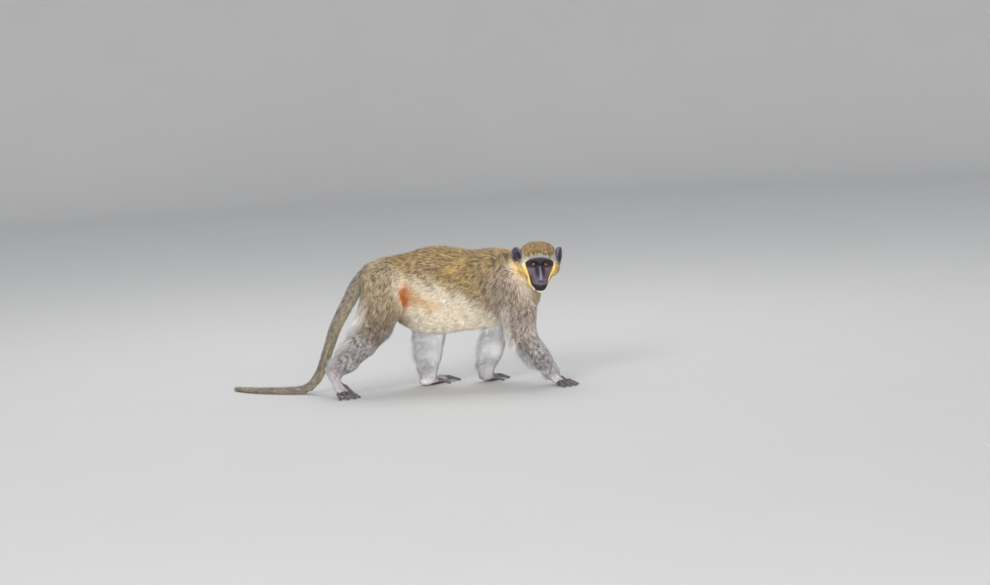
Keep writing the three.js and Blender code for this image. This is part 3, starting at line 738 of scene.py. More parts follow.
# Vertices to make finer: hands and feet once, the face twice, eyes, nostrils and lips three times.
def fineLevel(p):
    _, distances, places = outline(p, parts=True)
    q = intoHead(p)
    nearest = distances[:, 3:7].argmin(axis=1)
    place = places[np.arange(len(p)), 3 + nearest]
    limbNear = distances[np.arange(len(p)), 3 + nearest] < 4
    level = np.where(limbNear & (place > 2.1), 1, 0)
    level = np.where(limbNear & (place > 3.8), 2, level)
    onHead = distances[:, 2] < 6
    bare = bareFace(q)
    level = np.where(onHead & (bare > 0.02) & (q[:, 0] > -34), 2, level)
    _, _, r, v = lidOpening(np.stack([q[:, 0], np.abs(q[:, 1]), q[:, 2]], axis=1))
    fine = (r < 13.5) & (v[:, 0] > 0)
    across = np.abs(q[:, 1])
    fine |= (q[:, 0] > 26) & (across < 9.5) & (q[:, 2] > -37) & (q[:, 2] < -25)
    lips = q[:, 2] - features["mouthUp"] - features["mouthCurl"] * q[:, 1] ** 2
    fine |= (np.abs(lips) < 3) & (across < features["mouthHalf"] + 1) & (q[:, 0] > 0)
    return np.where(onHead & fine, 3, level)


# Draws points onto the skin, in blocks.
def ontoSkin(p, steps, most):
    return inBlocks(lambda block: drawOnto(skinDistance, block, 0.0, steps, most), p, 12000)


# The surface net drawn onto the field, then made finer in three steps and evened after each.
def makeSkin():
    points, triangles = surfaceNet(*gridValues())
    print("skin net,", len(triangles), "triangles")
    points = ontoSkin(points, 2, 1.5)
    everywhere = np.ones(len(points), bool)
    points = ontoSkin(relax(points, triangles, everywhere), 1, 1.0)
    for depth in (1, 2, 3):
        level = inBlocks(fineLevel, points)
        marked = level[triangles].min(axis=1) >= depth
        points, triangles = refine(points, triangles, marked)
        touched = np.zeros(len(points), bool)
        touched[triangles[(level[np.minimum(triangles, len(level) - 1)] >= depth).any(axis=1)]] = True
        touched[len(level) :] = True
        for _ in range(2):
            points = relax(points, triangles, touched, 0.4)
            points[touched] = ontoSkin(points[touched], 1, 0.8)
        points[touched] = ontoSkin(points[touched], 1, 0.5)
    points[:, 2] = np.maximum(points[:, 2], 0.1)
    return points, triangles


skinPoints, skinTriangles = makeSkin()
print("skin,", len(skinPoints), "vertices,", len(skinTriangles), "triangles")


palette = {  # colour in 8-bit sRGB, and how strongly single locks differ from it
    "olive": ((166, 144, 108), 1.0),
    "gold": ((170, 144, 92), 0.9),
    "rump": ((168, 151, 123), 0.9),
    "shoulder": ((170, 155, 138), 0.9),
    "flank": ((228, 217, 199), 0.3),
    "cream": ((244, 231, 208), 0.12),
    "rust": ((184, 98, 22), 0.2),
    "darkThigh": ((132, 115, 93), 0.9),
    "armGrey": ((190, 181, 178), 1.1),
    "grey": ((186, 180, 181), 1.2),
    "white": ((255, 253, 252), 0.12),
    "backDark": ((136, 114, 80), 1.0),
    "handGrey": ((206, 199, 202), 0.35),
    "digit": ((104, 95, 99), 0.15),
    "tailTop": ((178, 165, 149), 1.0),
    "tailUnder": ((214, 196, 162), 0.7),
    "crown": ((152, 123, 66), 2.0),
    "crownDark": ((122, 98, 62), 1.0),
    "browBand": ((180, 175, 180), 0.1),
    "temple": ((208, 198, 180), 0.3),
    "cheekGold": ((255, 214, 124), 0.1),
    "ruffPale": ((246, 236, 214), 0.15),
    "neckPale": ((224, 211, 192), 0.15),
    "rustPale": ((222, 176, 112), 0.2),
    # tan in the fold between belly and thigh, partly painted shade
    "groinTanAndShade": ((190, 164, 110), 0.3),
    "chinWhite": ((240, 233, 218), 0.1),
    # chest: dull gold, made darker as painted shade under the chin
    "chest": ((178, 162, 112), 0.3),
    "faceSkin": ((42, 38, 44), 0),
    # nose: painted highlight down its ridge, over the nose's own skin
    "noseSkinHighlight": ((124, 116, 132), 0),
    "muzzleSkin": ((94, 86, 97), 0),
    "cheekSkin": ((104, 90, 97), 0),
    # darkest skin, also used as painted shade round the eyes, in the nostrils and in the ear's bowl
    "darkSkinAndShade": ((26, 21, 24), 0),
    "mouthSkin": ((28, 25, 28), 0),
    "earHair": ((166, 156, 170), 0),
    "earSkin": ((76, 68, 79), 0),
}


# 8-bit sRGB to linear light.
def linear(colour):
    c = np.array(colour, float) / 255
    return np.where(c <= 0.04045, c / 12.92, ((c + 0.055) / 1.055) ** 2.4)


tones = {name: np.append(linear(colour), tick) for name, (colour, tick) in palette.items()}


# Smooth noise from a sum of sine waves in random directions, about -1 to 1.
def waves(seed, wavelength, count=7):
    source = np.random.default_rng(seed)
    vectors = unit(source.normal(size=(count, 3))) * (2 * math.pi / wavelength)
    vectors = vectors * source.uniform(0.6, 1.6, (count, 1))
    phases = source.uniform(0, 2 * math.pi, count)
    return lambda p: np.sin(p @ vectors.T + phases).sum(axis=1) / math.sqrt(count)


patchNoise = waves(3, 34)
lockNoise = waves(4, 13)
edgeNoise = waves(5, 22)
tickNoise = waves(6, 6, 12)


# Paints tones over each other: each layer's amount, 0 to 1, goes over what is under it.
def layered(count, first, *layers):
    tone = np.tile(tones[first], (count, 1))
    for name, amount in layers:
        tone += (tones[name] - tone) * np.clip(amount, 0, 1)[:, None]
    return tone


flankLine = {"x": (-80, -20, 35, 89, 122, 150), "z": (272, 258, 240, 212, 190, 180)}
rustLine = {"x": (-82, -54, -26, 8, 48), "z": (226, 228, 216, 200, 188), "half": (28, 28, 19, 15, 13)}
saddle = {"x": 65, "z": 272, "long": 44, "high": 30}  # golden patch on the side of the back


ruffLine = {"z": (170, 292), "x": (228, 158)}  # edge of the pale ruff on the side of the neck


# Pale fur ahead of a line down the side of the neck: 0 behind it and 1 ahead of it.
def neckRuff(p, normal):
    ahead = p[:, 0] + edgeNoise(p) * 4 - np.interp(p[:, 2], ruffLine["z"], ruffLine["x"])
    return ramp(ahead, -10, 16) * ramp(np.abs(p[:, 1]), 16, 32) * ramp(np.abs(normal[:, 1]), 0.05, 0.45)


# Trunk: olive above, cream below a line down the flank, rust before the thigh; the chest tone in front is
# darkened as painted shade under the chin.
def trunkTone(p, normal):
    x, z = p[:, 0], p[:, 2] + edgeNoise(p) * 5
    line = np.interp(x, flankLine["x"], flankLine["z"])
    pale = ramp(line - z, -24, 20)
    low = ramp(line - z, 14, 52)
    behind = ramp(-x, 70, 120)
    rust = bell(z - np.interp(x, rustLine["x"], rustLine["z"]), np.interp(x, rustLine["x"], rustLine["half"]))
    rust = rust * ramp(x, -84, -68) * ramp(np.abs(p[:, 1]), 10, 24)
    front = ramp(normal[:, 0], 0.25, 0.7) * ramp(x, 150, 190)
    golden = np.exp(-(((x - saddle["x"]) / saddle["long"]) ** 2)
                    - (((z - saddle["z"]) / saddle["high"]) ** 2))
    return layered(
        len(p), "olive",
        ("backDark", ramp(normal[:, 2], 0.5, 0.95) * 0.5),
        ("gold", 0.1 + 0.8 * golden + 0.1 * patchNoise(p)),
        ("rump", behind),
        ("shoulder", ramp(x, 105, 165) * ramp(300 - z, 0, 60) * 0.8),
        ("flank", pale),
        ("cream", low),
        ("cream", ramp(-normal[:, 2], 0.6, 0.9)),
        # tan low in the fold before the thigh, partly painted shade
        ("groinTanAndShade", ramp(-x, 34, 76) * ramp(212 - z, 0, 26) * 0.7),
        ("neckPale", neckRuff(p, normal) * 0.8),
        ("chest", front),
        ("rustPale", rust * (1 - 0.9 * ramp(x, -30, 60)) * 0.75),
        ("rust", (rust * 1.5 - 0.4) * (1 - 0.85 * ramp(x, -56, -34)) * (1 - ramp(x, -34, -8))),
    )


# Neck: olive above, greyer and then pale down the side, dull gold in front and below, darkened there as
# painted shade under the chin.
def neckTone(p, normal):
    q = intoHead(p)
    side = ramp(300 - p[:, 2], 0, 36)
    return layered(
        len(p), "olive",
        ("shoulder", side * 0.7),
        ("neckPale", side * np.maximum(neckRuff(p, normal) * 0.85, ramp(q[:, 0], -118, -84) * 0.9)),
        ("chest", ramp(normal[:, 0] - normal[:, 2], 0.1, 0.9)),
    )


# Head: ticked crown, pale brow band, golden cheeks, white chin, and the chest tone under the jaw as painted
# shade.
def headTone(q, normal):
    f, across, u = q[:, 0], np.abs(q[:, 1]), q[:, 2] + edgeNoise(q) * 1.2
    fringe = faceFringe(q) * 1.6
    brow = ramp(fringe, 0.35, 0.8) * ramp(u, 2, 10)
    corner = ramp(across, 22, 28) * (1 - ramp(across, 30, 35)) * ramp(u, 4, 9) * (1 - ramp(u, 13, 17))
    temple = ramp(across, 27, 34) * (1 - ramp(u, 20, 30)) * ramp(f, -50, -34)
    cheek = ramp(across, 14, 20) * (1 - ramp(u, -5, 6)) * ramp(f, -68, -48)
    chin = ramp(-u, 47, 53) * ramp(f, -26, -8)
    underJawShade = ramp(-u, 34, 46) * (1 - ramp(f, -30, -6))
    return layered(
        len(q), "crown",
        ("crownDark", ramp(lockNoise(q * 1.6), 0.4, 1.2) * 0.35),
        ("olive", ramp(-f, 60, 84)),
        ("ruffPale", ramp(-u, -8, 6) * ramp(across, 20, 28)),
        ("temple", temple),
        ("cheekGold", cheek),
        ("ruffPale", fringe * ramp(u, -6, 5) * 0.8),
        ("chest", underJawShade * 0.8),
        ("browBand", brow),
        ("ruffPale", corner * ramp(f, -36, -24) * 0.8),
        ("chinWhite", chin),
    )


# Limb: the trunk's tone above, grey below, white inside and behind, dark digits.
def limbTone(p, normal, place, side, hind):
    inward = ramp(-side * normal[:, 1] + 0.1 * edgeNoise(p), -0.05, 0.6)
    rear = ramp(-normal[:, 0], 0.4, 0.95)
    digit = ramp(place + 0.12 * patchNoise(p), 2.75, 3.15)
    top, low, dark = ("rump", "grey", "darkThigh") if hind else ("shoulder", "grey", "armGrey")
    darkAmount = ramp(place, 0.35, 0.9) * (1 - ramp(place, 1.15, 1.5)) * ramp(normal[:, 0], -0.5, 0.3)
    return layered(
        len(p), top,
        (dark, darkAmount * (0.9 if hind else 0.6)),
        (low, ramp(place, 0.9, 1.45)),
        ("neckPale", neckRuff(p, normal) * (0 if hind else 0.8) * (1 - ramp(place, 0.1, 0.6))),
        ("white", rear * ramp(place + 0.1 * edgeNoise(p), 0.2, 0.8) * 0.4),
        ("white", inward * ramp(place, 0.1, 0.5)),
        ("handGrey", ramp(place, 1.5, 2.1) * (1 - 0.6 * inward)),
        ("digit", digit),
        ("digit", ramp(place, 2.1, 2.3) * ramp(-normal[:, 2], 0.3, 0.7)),
    )


# Tail: grey brown above, paler below and towards the tip.
def tailTone(p, normal, place):
    under = ramp(normal[:, 0] * 0.8 - normal[:, 2] * 0.5, -0.25, 0.3)
    return layered(len(p), "tailTop", ("tailUnder", under * 0.95), ("tailUnder", ramp(place, 0.75, 1) * 0.4))


# Colour, in linear light, and lock contrast of the coat anywhere on the body.
def markings(p, normal, distances, places):
    q = intoHead(p)
    shares = sharesOf(distances, 6)
    each = [trunkTone(p, normal), neckTone(p, normal), headTone(q, normal @ headTurn)]
    for column, (name, limb) in enumerate(limbs.items(), 3):
        hind = name.startswith("hind")
        each.append(limbTone(p, normal, places[:, column], limb["side"], hind))
    each.append(tailTone(p, normal, places[:, 7]))
    return np.einsum("nr,rnc->nc", shares, np.array(each))


# Colour of the bare face: lighter down the nose, with a painted highlight on its ridge, and on the muzzle;
# dark round the eyes and lips, with painted shade in the eye sockets, under the brow, in the hollows beside
# the nose and in the nostrils.
def faceTone(q):
    across, f, u = np.abs(q[:, 1]), q[:, 0], q[:, 2]
    mirrored = np.stack([f, across, u], axis=1)
    opening, up, r, _ = lidOpening(mirrored)
    # painted highlight down the ridge of the nose
    noseRidgeHighlight = bell(across, 3.0) * ramp(-u, -1, 8) * (1 - ramp(-u, 27, 32))
    hollow = bell(across - 7, 3) * ramp(-u, -4, 4) * (1 - ramp(-u, 18, 30))
    muzzle = ramp(-u, 14, 28) * (1 - ramp(-u, 38, 44)) * (1 - ramp(across, 15, 22))
    cheeks = ramp(across, 8, 14) * ramp(-u, 3, 12) * (1 - ramp(-u, 20, 32))
    nearEye = 1 - ramp(r, 10.2, 14)
    # painted shade in the eye sockets and under the brow, over the dark lid rims
    lidsAndSocketShade = nearEye * (1 - ramp(opening, 0.8, 2.5)) + nearEye * ramp(up, 0.3, 0.6) * 0.6
    # painted shade between the eyes under the brow, over dark skin
    betweenEyesShade = ramp(u, -4, 2) * (1 - ramp(across, 6, 30)) * 1.1
    line = u - features["mouthUp"] - features["mouthCurl"] * q[:, 1] ** 2
    lips = bell(line, 4.5) * (1 - ramp(across, 18, 23)) * ramp(f, -4, 6)
    nostrilAt = np.array(features["nostril"][0])
    nostril = 1 - ramp(np.linalg.norm(mirrored - nostrilAt, axis=1), 1.5, 2.8)
    tone = layered(
        len(q), "faceSkin",
        ("cheekSkin", cheeks * 0.8),
        ("muzzleSkin", muzzle * 0.85),
        ("noseSkinHighlight", noseRidgeHighlight * 0.9),
        # painted shade in the hollows beside the nose
        ("faceSkin", hollow * 0.7),
        ("browBand", ramp(u + 0.1 * across, 12, 19) * 0.16),
        ("darkSkinAndShade", betweenEyesShade * 0.55),
        ("darkSkinAndShade", np.clip(lidsAndSocketShade, 0, 1)),
        ("mouthSkin", lips * 0.8),
        # painted shade in the nostril openings
        ("darkSkinAndShade", nostril),
    )
    return tone[:, :3]


# The skin's colours: the coat's markings, darker, and the face's own where it is bare.
def skinColours(p, normal):
    _, distances, places = outline(p, parts=True)
    tone = markings(p, normal, distances, places)[:, :3] * 0.75
    q = intoHead(p)
    bare = bareFace(q) * ramp(30 - distances[:, 2], 0, 20)
    return mixed(tone, faceTone(q), bare[:, None])


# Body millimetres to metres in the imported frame.
def toFrame(points):
    return (points - np.array(body["middle"])) * 0.001


# One mesh object in metres from points in body millimetres; smooth all over.
def makePiece(name, points, triangles, material, colours=None):
    mesh = bpy.data.meshes.new(name)
    triangles = np.asarray(triangles, np.int32)
    mesh.vertices.add(len(points))
    mesh.vertices.foreach_set("co", toFrame(points).astype(np.float32).reshape(-1))
    mesh.loops.add(triangles.size)
    mesh.loops.foreach_set("vertex_index", triangles.reshape(-1))
    mesh.polygons.add(len(triangles))
    mesh.polygons.foreach_set("loop_start", np.arange(0, triangles.size, 3, dtype=np.int32))
    mesh.polygons.foreach_set("use_smooth", np.ones(len(triangles), bool))
    mesh.update(calc_edges=True)
    mesh.validate()
    if colours is not None:
        layer = mesh.color_attributes.new("tone", "FLOAT_COLOR", "POINT")
        rgba = np.ones((len(points), 4), np.float32)
        rgba[:, :3] = np.clip(colours, 0, 1)
        layer.data.foreach_set("color", rgba.reshape(-1))
    mesh.materials.append(material)
    piece = bpy.data.objects.new(name, mesh)
    bpy.context.scene.collection.objects.link(piece)
    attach(piece, "root")
    return piece


# Mean of the faces round each vertex, by their area.
def vertexNormals(points, triangles):
    a, b, c = cornersOf(points, triangles)
    faces = np.cross(b - a, c - a)
    total = [sum(np.bincount(triangles[:, i], faces[:, axis], len(points)) for i in range(3))
             for axis in range(3)]
    return unit(np.stack(total, axis=1))


# Triangles of a grid of rows by columns, closed round the columns, with a pole at each end.
def tubeTriangles(rows, columns):
    i, j = np.meshgrid(np.arange(rows - 1), np.arange(columns), indexing="ij")
    a, b = i * columns + j, i * columns + (j + 1) % columns
    a, b = a.reshape(-1), b.reshape(-1)
    sides = np.concatenate([np.stack([a, b, b + columns], 1), np.stack([a, b + columns, a + columns], 1)])
    ring = np.arange(columns)
    first, last, end = rows * columns, rows * columns + 1, (rows - 1) * columns
    turned = (ring + 1) % columns
    start = np.stack([turned, ring, np.full(columns, first)], 1)
    stop = np.stack([end + ring, end + turned, np.full(columns, last)], 1)
    return np.concatenate([sides, start, stop])


# Wraps a socket: arithmetic on it adds Math nodes.
class Wire:
    def __init__(self, tree, socket=None):
        self.tree, self.socket = tree, socket

    # Adds a node: settings first, then the values or links of its sockets.
    def node(self, kind, settings=None, **sockets):
        made = self.tree.nodes.new(kind)
        for key, value in (settings or {}).items():
            setattr(made, key, value)
        for key, value in sockets.items():
            self.put(made.inputs[key.replace("_", " ")], value)
        return made

    def put(self, socket, value):
        if isinstance(value, Wire):
            self.tree.links.new(value.socket, socket)
        else:
            socket.default_value = value

    def of(self, made, output=0):
        return Wire(self.tree, made.outputs[output])

    def math(self, operation, one, two):
        made = self.node("ShaderNodeMath", {"operation": operation})
        self.put(made.inputs[0], one)
        self.put(made.inputs[1], two)
        return self.of(made)

    def __add__(self, other):
        return self.math("ADD", self, other)

    def __mul__(self, other):
        return self.math("MULTIPLY", self, other)

    def __rsub__(self, other):
        return self.math("SUBTRACT", other, self)

    __radd__ = __add__
    __rmul__ = __mul__

    # Scales a colour by a value, through a vector.
    def shaded(self, amount):
        made = self.node("ShaderNodeVectorMath", {"operation": "SCALE"})
        self.put(made.inputs[0], self)
        self.put(made.inputs["Scale"], amount)
        return self.of(made)


# A material with constants on its shader; returns it, a wire, the shader's sockets and the place.
def newMaterial(name, **constants):
    material = bpy.data.materials.new(name)
    material.use_nodes = True
    shader = material.node_tree.nodes["Principled BSDF"]
    for key, value in constants.items():
        shader.inputs[key.replace("_", " ")].default_value = value
    wire = Wire(material.node_tree)
    return material, wire, shader.inputs, wire.of(wire.node("ShaderNodeTexCoord"), "Object")


# The tone painted on the piece's own vertices.
def paintedTone(wire):
    return wire.of(wire.node("ShaderNodeAttribute", {"attribute_name": "tone"}), "Color")


# Fine noise, 0 to 1, so many waves to the metre.
def noiseAt(wire, place, scale, detail=2.0):
    made = wire.node("ShaderNodeTexNoise", Vector=place, Scale=scale, Detail=detail)
    return wire.of(made, "Fac")


# Coat: the tuft's own tone, a little uneven along and across it.
def coatMaterial(name, roughness):
    material, wire, inputs, place = newMaterial(
        name, Roughness=roughness, Sheen_Weight=0.15, Sheen_Roughness=0.5, Specular_IOR_Level=0.25
    )
    wire.put(inputs["Base Color"], paintedTone(wire).shaded(noiseAt(wire, place, 620) * 0.3 + 0.85))
    return material


# Skin: its own tone, mottled, with fine creases and pores in relief and in roughness.
def skinMaterial():
    material, wire, inputs, place = newMaterial("monkeySkin", Specular_IOR_Level=0.3)
    mottle = noiseAt(wire, place, 260, 4.0)
    pores = wire.node("ShaderNodeTexVoronoi", {"feature": "DISTANCE_TO_EDGE"}, Vector=place, Scale=1150)
    pores = wire.of(pores, "Distance")
    grain = noiseAt(wire, place, 1700, 3.0)
    wire.put(inputs["Base Color"], paintedTone(wire).shaded(mottle * 0.5 + 0.75))
    wire.put(inputs["Roughness"], grain * 0.2 + 0.58)
    bump = wire.node("ShaderNodeBump", Strength=0.45, Distance=0.0004, Height=pores * 0.5 + grain * 0.6)
    wire.put(inputs["Normal"], wire.of(bump))
    return material


# Eye: its own tone, glossy, with a faint grain in the iris.
def eyeMaterial():
    material, wire, inputs, place = newMaterial("wetEye", Roughness=0.06, Specular_IOR_Level=0.32)
    wire.put(inputs["Base Color"], paintedTone(wire).shaded(noiseAt(wire, place, 2600, 3.0) * 0.4 + 0.8))
    return material


# Nail: dark horn, streaked in colour and in roughness.
def nailMaterial():
    material, wire, inputs, place = newMaterial("darkNail", Coat_Weight=0.3)
    grain = noiseAt(wire, place, 900, 3.0)
    tone = wire.of(wire.node("ShaderNodeRGB"))
    tone.socket.default_value = (0.035, 0.028, 0.028, 1)
    wire.put(inputs["Base Color"], tone.shaded(grain * 1.2 + 0.5))
    wire.put(inputs["Roughness"], grain * 0.2 + 0.25)
    return material


skinMaterialMade = skinMaterial()
print("materials made")


ear = {
    "root": (-44, 47, 10.5),
    "turn": (36, 62),  # right, left
    "lean": 14,
    "high": 20.5,
    "wide": 14.5,
    "rows": 34,
    "columns": 44,
    "profile": (  # from the back's middle over the rim to the bowl's: share of the outline, forward
        (0.02, -9.0), (0.45, -8.2), (0.78, -5.8), (0.95, -2.6), (1.0, 0.4), (0.99, 2.4), (0.93, 3.5),
        (0.84, 3.2), (0.79, 1.8), (0.74, -0.2), (0.58, -1.6), (0.3, -3.4), (0.02, -4.2),
    ),
}


# A bowl swept round its own axis: the profile's share of an egg outline, with the inner ridge and
# the small lobe before the ear canal raised by bell-shaped bumps.
def earShape(side):
    profile = smoothRoute([(r, x, 0) for r, x in ear["profile"]], ear["rows"])
    share, forward = profile[:, 0][:, None], profile[:, 1][:, None]
    angle = np.linspace(0, 2 * math.pi, ear["columns"], endpoint=False)[None, :]
    egg = 1 + 0.07 * np.sin(angle) - 0.05 * np.cos(2 * angle)
    across = share * egg * np.cos(angle) * ear["wide"]
    up = share * egg * np.sin(angle) * ear["high"]
    inner = ramp(np.arange(ear["rows"])[:, None] / ear["rows"], 0.66, 0.76)
    ridge = bell(np.hypot(across - 1, (up - 1) / 1.4) - 7.2, 1.5) * ramp(across + up * 0.3, -4, 2)
    lobe = np.exp(-(((across + 9) / 3.2) ** 2) - (((up + 4) / 4) ** 2))
    fold = np.exp(-(((across - 8) / 2) ** 2) - (((up + 2) / 9) ** 2))
    x = forward + inner * (ridge * 2.2 + lobe * 3.4 + fold * 0.8) + 0.4 * np.sin(angle * 5 + 1) * share**3
    q = np.stack([x, across, up], axis=-1).reshape(-1, 3)
    poles = q.reshape(ear["rows"], ear["columns"], 3)[[0, -1]].mean(axis=1)
    q = np.concatenate([q, poles])
    turn = turnMatrix(ear["turn"][side > 0], 0, 0) @ turnMatrix(0, 0, -ear["lean"])
    q = (q @ turn.T + np.array(ear["root"])) * (1, side, 1)
    triangles = tubeTriangles(ear["rows"], ear["columns"])
    return outOfHead(q), triangles if side > 0 else triangles[:, ::-1]


# Dark skin, darker in the bowl as painted shade, with a paler rim.
def earColours(points, side):
    q = intoHead(points)
    middle = np.array(ear["root"]) * (1, side, 1)
    reach = np.linalg.norm((q - middle) / (22, 22, 22), axis=1)
    tone = layered(len(q), "earSkin", ("darkSkinAndShade", 0.75 * (1 - ramp(reach, 0.3, 0.75))))
    return tone[:, :3] * (0.9 + 0.2 * lockNoise(points)[:, None] * 0.5)


# Turns the triangles to face outwards if the closed surface's volume comes out negative.
def outwards(points, triangles):
    a, b, c = cornersOf(points, triangles)
    return triangles if np.einsum("ij,ij->", a, np.cross(b, c)) > 0 else triangles[:, ::-1]


skinTriangles = outwards(skinPoints, skinTriangles)
skinNormals = vertexNormals(skinPoints, skinTriangles)
skinTones = inBlocks(lambda i: skinColours(skinPoints[i], skinNormals[i]), np.arange(len(skinPoints)))
allPoints, allTriangles, allTones = [skinPoints], [skinTriangles], [skinTones]
ears = []
for side in (-1, 1):
    points, triangles = earShape(side)
    triangles = outwards(points - points.mean(axis=0), triangles)
    ears.append((points, triangles, vertexNormals(points, triangles)))
    allTones.append(earColours(points, side))
    allTriangles.append(triangles + sum(len(p) for p in allPoints))
    allPoints.append(points)
skin = makePiece("skin", np.concatenate(allPoints), np.concatenate(allTriangles),
                 skinMaterialMade, np.concatenate(allTones))
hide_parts(*[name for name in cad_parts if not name.startswith("eye")])
print("skin made,", len(skin.data.polygons), "triangles")


eyeball = {
    "iris": 0.68,  # radians from the line of sight
    "pupil": 0.25,
    "bulge": 0.5,
    "rows": 60,
    "columns": 96,
    "amber": (92, 45, 30),
    "inner": (128, 72, 48),
    "rim": (24, 12, 10),
    "white": (48, 34, 30),
}


# A ball with a bulging cornea: rings round the line of sight, the radius raised over the iris.
def makeEye(side, node):
    rows, columns = eyeball["rows"], eyeball["columns"]
    polar = (np.linspace(0, 1, rows + 2)[1:-1] ** 1.5 * math.pi)[:, None]
    angle = np.linspace(0, 2 * math.pi, columns, endpoint=False)[None, :]
    radius = eye["radius"] + eyeball["bulge"] * (1 - ramp(polar, 0.3, eyeball["iris"] + 0.12)) - 0.12
    q = np.stack([radius * np.cos(polar) * np.ones_like(angle), radius * np.sin(polar) * np.cos(angle),
                  radius * np.sin(polar) * np.sin(angle)], axis=-1).reshape(-1, 3)
    q = np.concatenate([q, [(radius[0, 0], 0, 0)], [(-radius[-1, 0], 0, 0)]])
    polar = np.append(np.repeat(polar[:, 0], columns), [0, math.pi])
    angle = np.append(np.tile(angle[0], rows), [0, 0])
    fibres = 0.5 + 0.5 * np.sin(angle * 23 + 2 * np.sin(angle * 7)) * np.sin(angle * 41 + 1)
    iris = 1 - ramp(polar, eyeball["iris"] - 0.05, eyeball["iris"] + 0.03)
    rim = bell(polar - eyeball["iris"] + 0.04, 0.07)
    glow = 1 - ramp(polar, eyeball["pupil"] + 0.02, 0.5)
    amber, inner, dark, white = (linear(eyeball[k]) for k in ("amber", "inner", "rim", "white"))
    tone = mixed(amber, inner, (glow * 0.8)[:, None])
    tone = tone * (0.7 + 0.6 * fibres)[:, None]
    tone = mixed(white, tone, iris[:, None])
    tone = mixed(tone, dark, (rim * 0.85)[:, None])
    tone = tone * ramp(polar, eyeball["pupil"] - 0.04, eyeball["pupil"] + 0.03)[:, None] + 0.002
    place = np.array(eye["place"]) * (1, side, 1)
    points = outOfHead(q + place)
    triangles = outwards(points - outOfHead(place[None])[0], tubeTriangles(rows, columns))
    piece = makePiece("eye" + ("Right" if side < 0 else "Left"), points, triangles, eyeMaterialMade,
                      tone)
    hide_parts(node)


eyeMaterialMade = eyeMaterial()
makeEye(-1, "eye_right")
makeEye(1, "eye_left")
print("eyes made")


nail = {"long": 3.3, "wide": 2.1, "thick": 0.6, "rows": 9, "columns": 14, "arch": 0.2, "back": 0.45}


# A flattened half egg on top of each digit's end, its edges bent down by the square of the width.
def makeNails():
    rows, columns = nail["rows"], nail["columns"]
    polar = (np.linspace(0, math.pi, rows + 2)[1:-1])[:, None]
    angle = np.linspace(0, 2 * math.pi, columns, endpoint=False)[None, :]
    shape = np.stack([np.cos(polar) * np.ones_like(angle), np.sin(polar) * np.cos(angle),
                      np.sin(polar) * np.sin(angle)], axis=-1).reshape(-1, 3)
    shape = np.concatenate([shape, [(1, 0, 0), (-1, 0, 0)]]) * (nail["long"], nail["wide"], nail["thick"])
    shape[:, 2] -= nail["arch"] * shape[:, 1] ** 2 + 0.03 * shape[:, 0] ** 2
    points, triangles = [], []
    for limb in limbs.values():
        for run in limb["digits"]:
            knuckle, tip = np.array(run[-2]), np.array(run[-1])
            way = unit(tip[:3] - knuckle[:3])
            across = unit(np.cross((0, 0, 1), way))
            above = np.cross(way, across)
            centre = tip[:3] + above * (tip[3] * 0.8) + way * (tip[3] * nail["back"])
            turn = np.stack([way - above * 0.18, across, above])
            triangles.append(tubeTriangles(rows, columns) + sum(len(p) for p in points))
            points.append(centre + shape @ turn)
    points = np.concatenate(points)
    makePiece("nails", points, outwards(points, np.concatenate(triangles)), nailMaterial())


makeNails()
print("nails made")


tuft = {
    "total": 150000,
    "most": 19000,  # tufts in one piece, at 10 triangles each
    "onEar": 1100,
    "flat": 0.45,
    "middleWidth": 0.85,
    "fine": 2.4,  # times as many straight tufts as bent ones, for the same triangles
    "fineWidth": 0.7,
    "patch": 0.0014,  # half of a tuft's patch on the map
    # root and middle shades darken the inner corners of each tuft: painted shade deep in the coat
    "rootShade": 0.68,
    "paleRootShade": 0.86,
    "middleShade": 0.97,
    "paleMiddleShade": 1.05,
    "tipShade": 1.1,
    "darkBelow": (0.26, 0.38),  # draws that make a lock end dark or light
    "lightAbove": (0.64, 0.76),
    "wispy": 0.5,  # share of the locks behind the limbs that stand out as wisps
}

# Per region: length and half width of a tuft in mm, and tufts per square mm of skin.
lie = {
    "trunk": {"length": 21, "half": 1.08, "density": 0.38},
    "neck": {"length": 21, "half": 1.0, "density": 0.45},
    "head": {"length": 9, "half": 0.66, "density": 1.5},
    "tail": {"length": (18, 12), "half": (1.1, 0.9), "density": 0.5},
    "limb": {
        "place": (0, 0.8, 1.3, 1.8, 2.2, 2.8, 3.4),
        "length": (23, 19, 14, 11, 8, 6, 4),
        "half": (1.2, 1.1, 0.95, 0.8, 0.6, 0.5, 0.4),
        "density": (0.40, 0.45, 0.62, 0.8, 1.1, 1.4, 1.2),
    },
    "cheekLength": 22,
    "napeLength": 20,
    "browLength": 3.4,
    "fringeLength": 8,
}

# How many mm past the outline the tips stand, where they do.
fringes = {"rear": 8, "ahead": 2.5, "cheek": 3, "crown": 1.5, "chin": 4, "belly": 3}

coatNames = {
    "coatBackRight": "coat_olive",
    "coatBackLeft": "coat_olive",
    "coatBelly": "coat_pale",
    "coatNeck": "coat_olive",
    "coatCrown": "coat_olive",
    "coatCheeks": "coat_gold",
    "coatArms": "coat_grey",
    "coatForearms": "coat_grey",
    "coatThighs": "coat_olive",
    "coatShanks": "coat_grey",
    "coatTail": "coat_olive",
}


fineCoats = ("coatCrown", "coatForearms", "coatShanks", "coatTail")  # short hair, in straight tufts


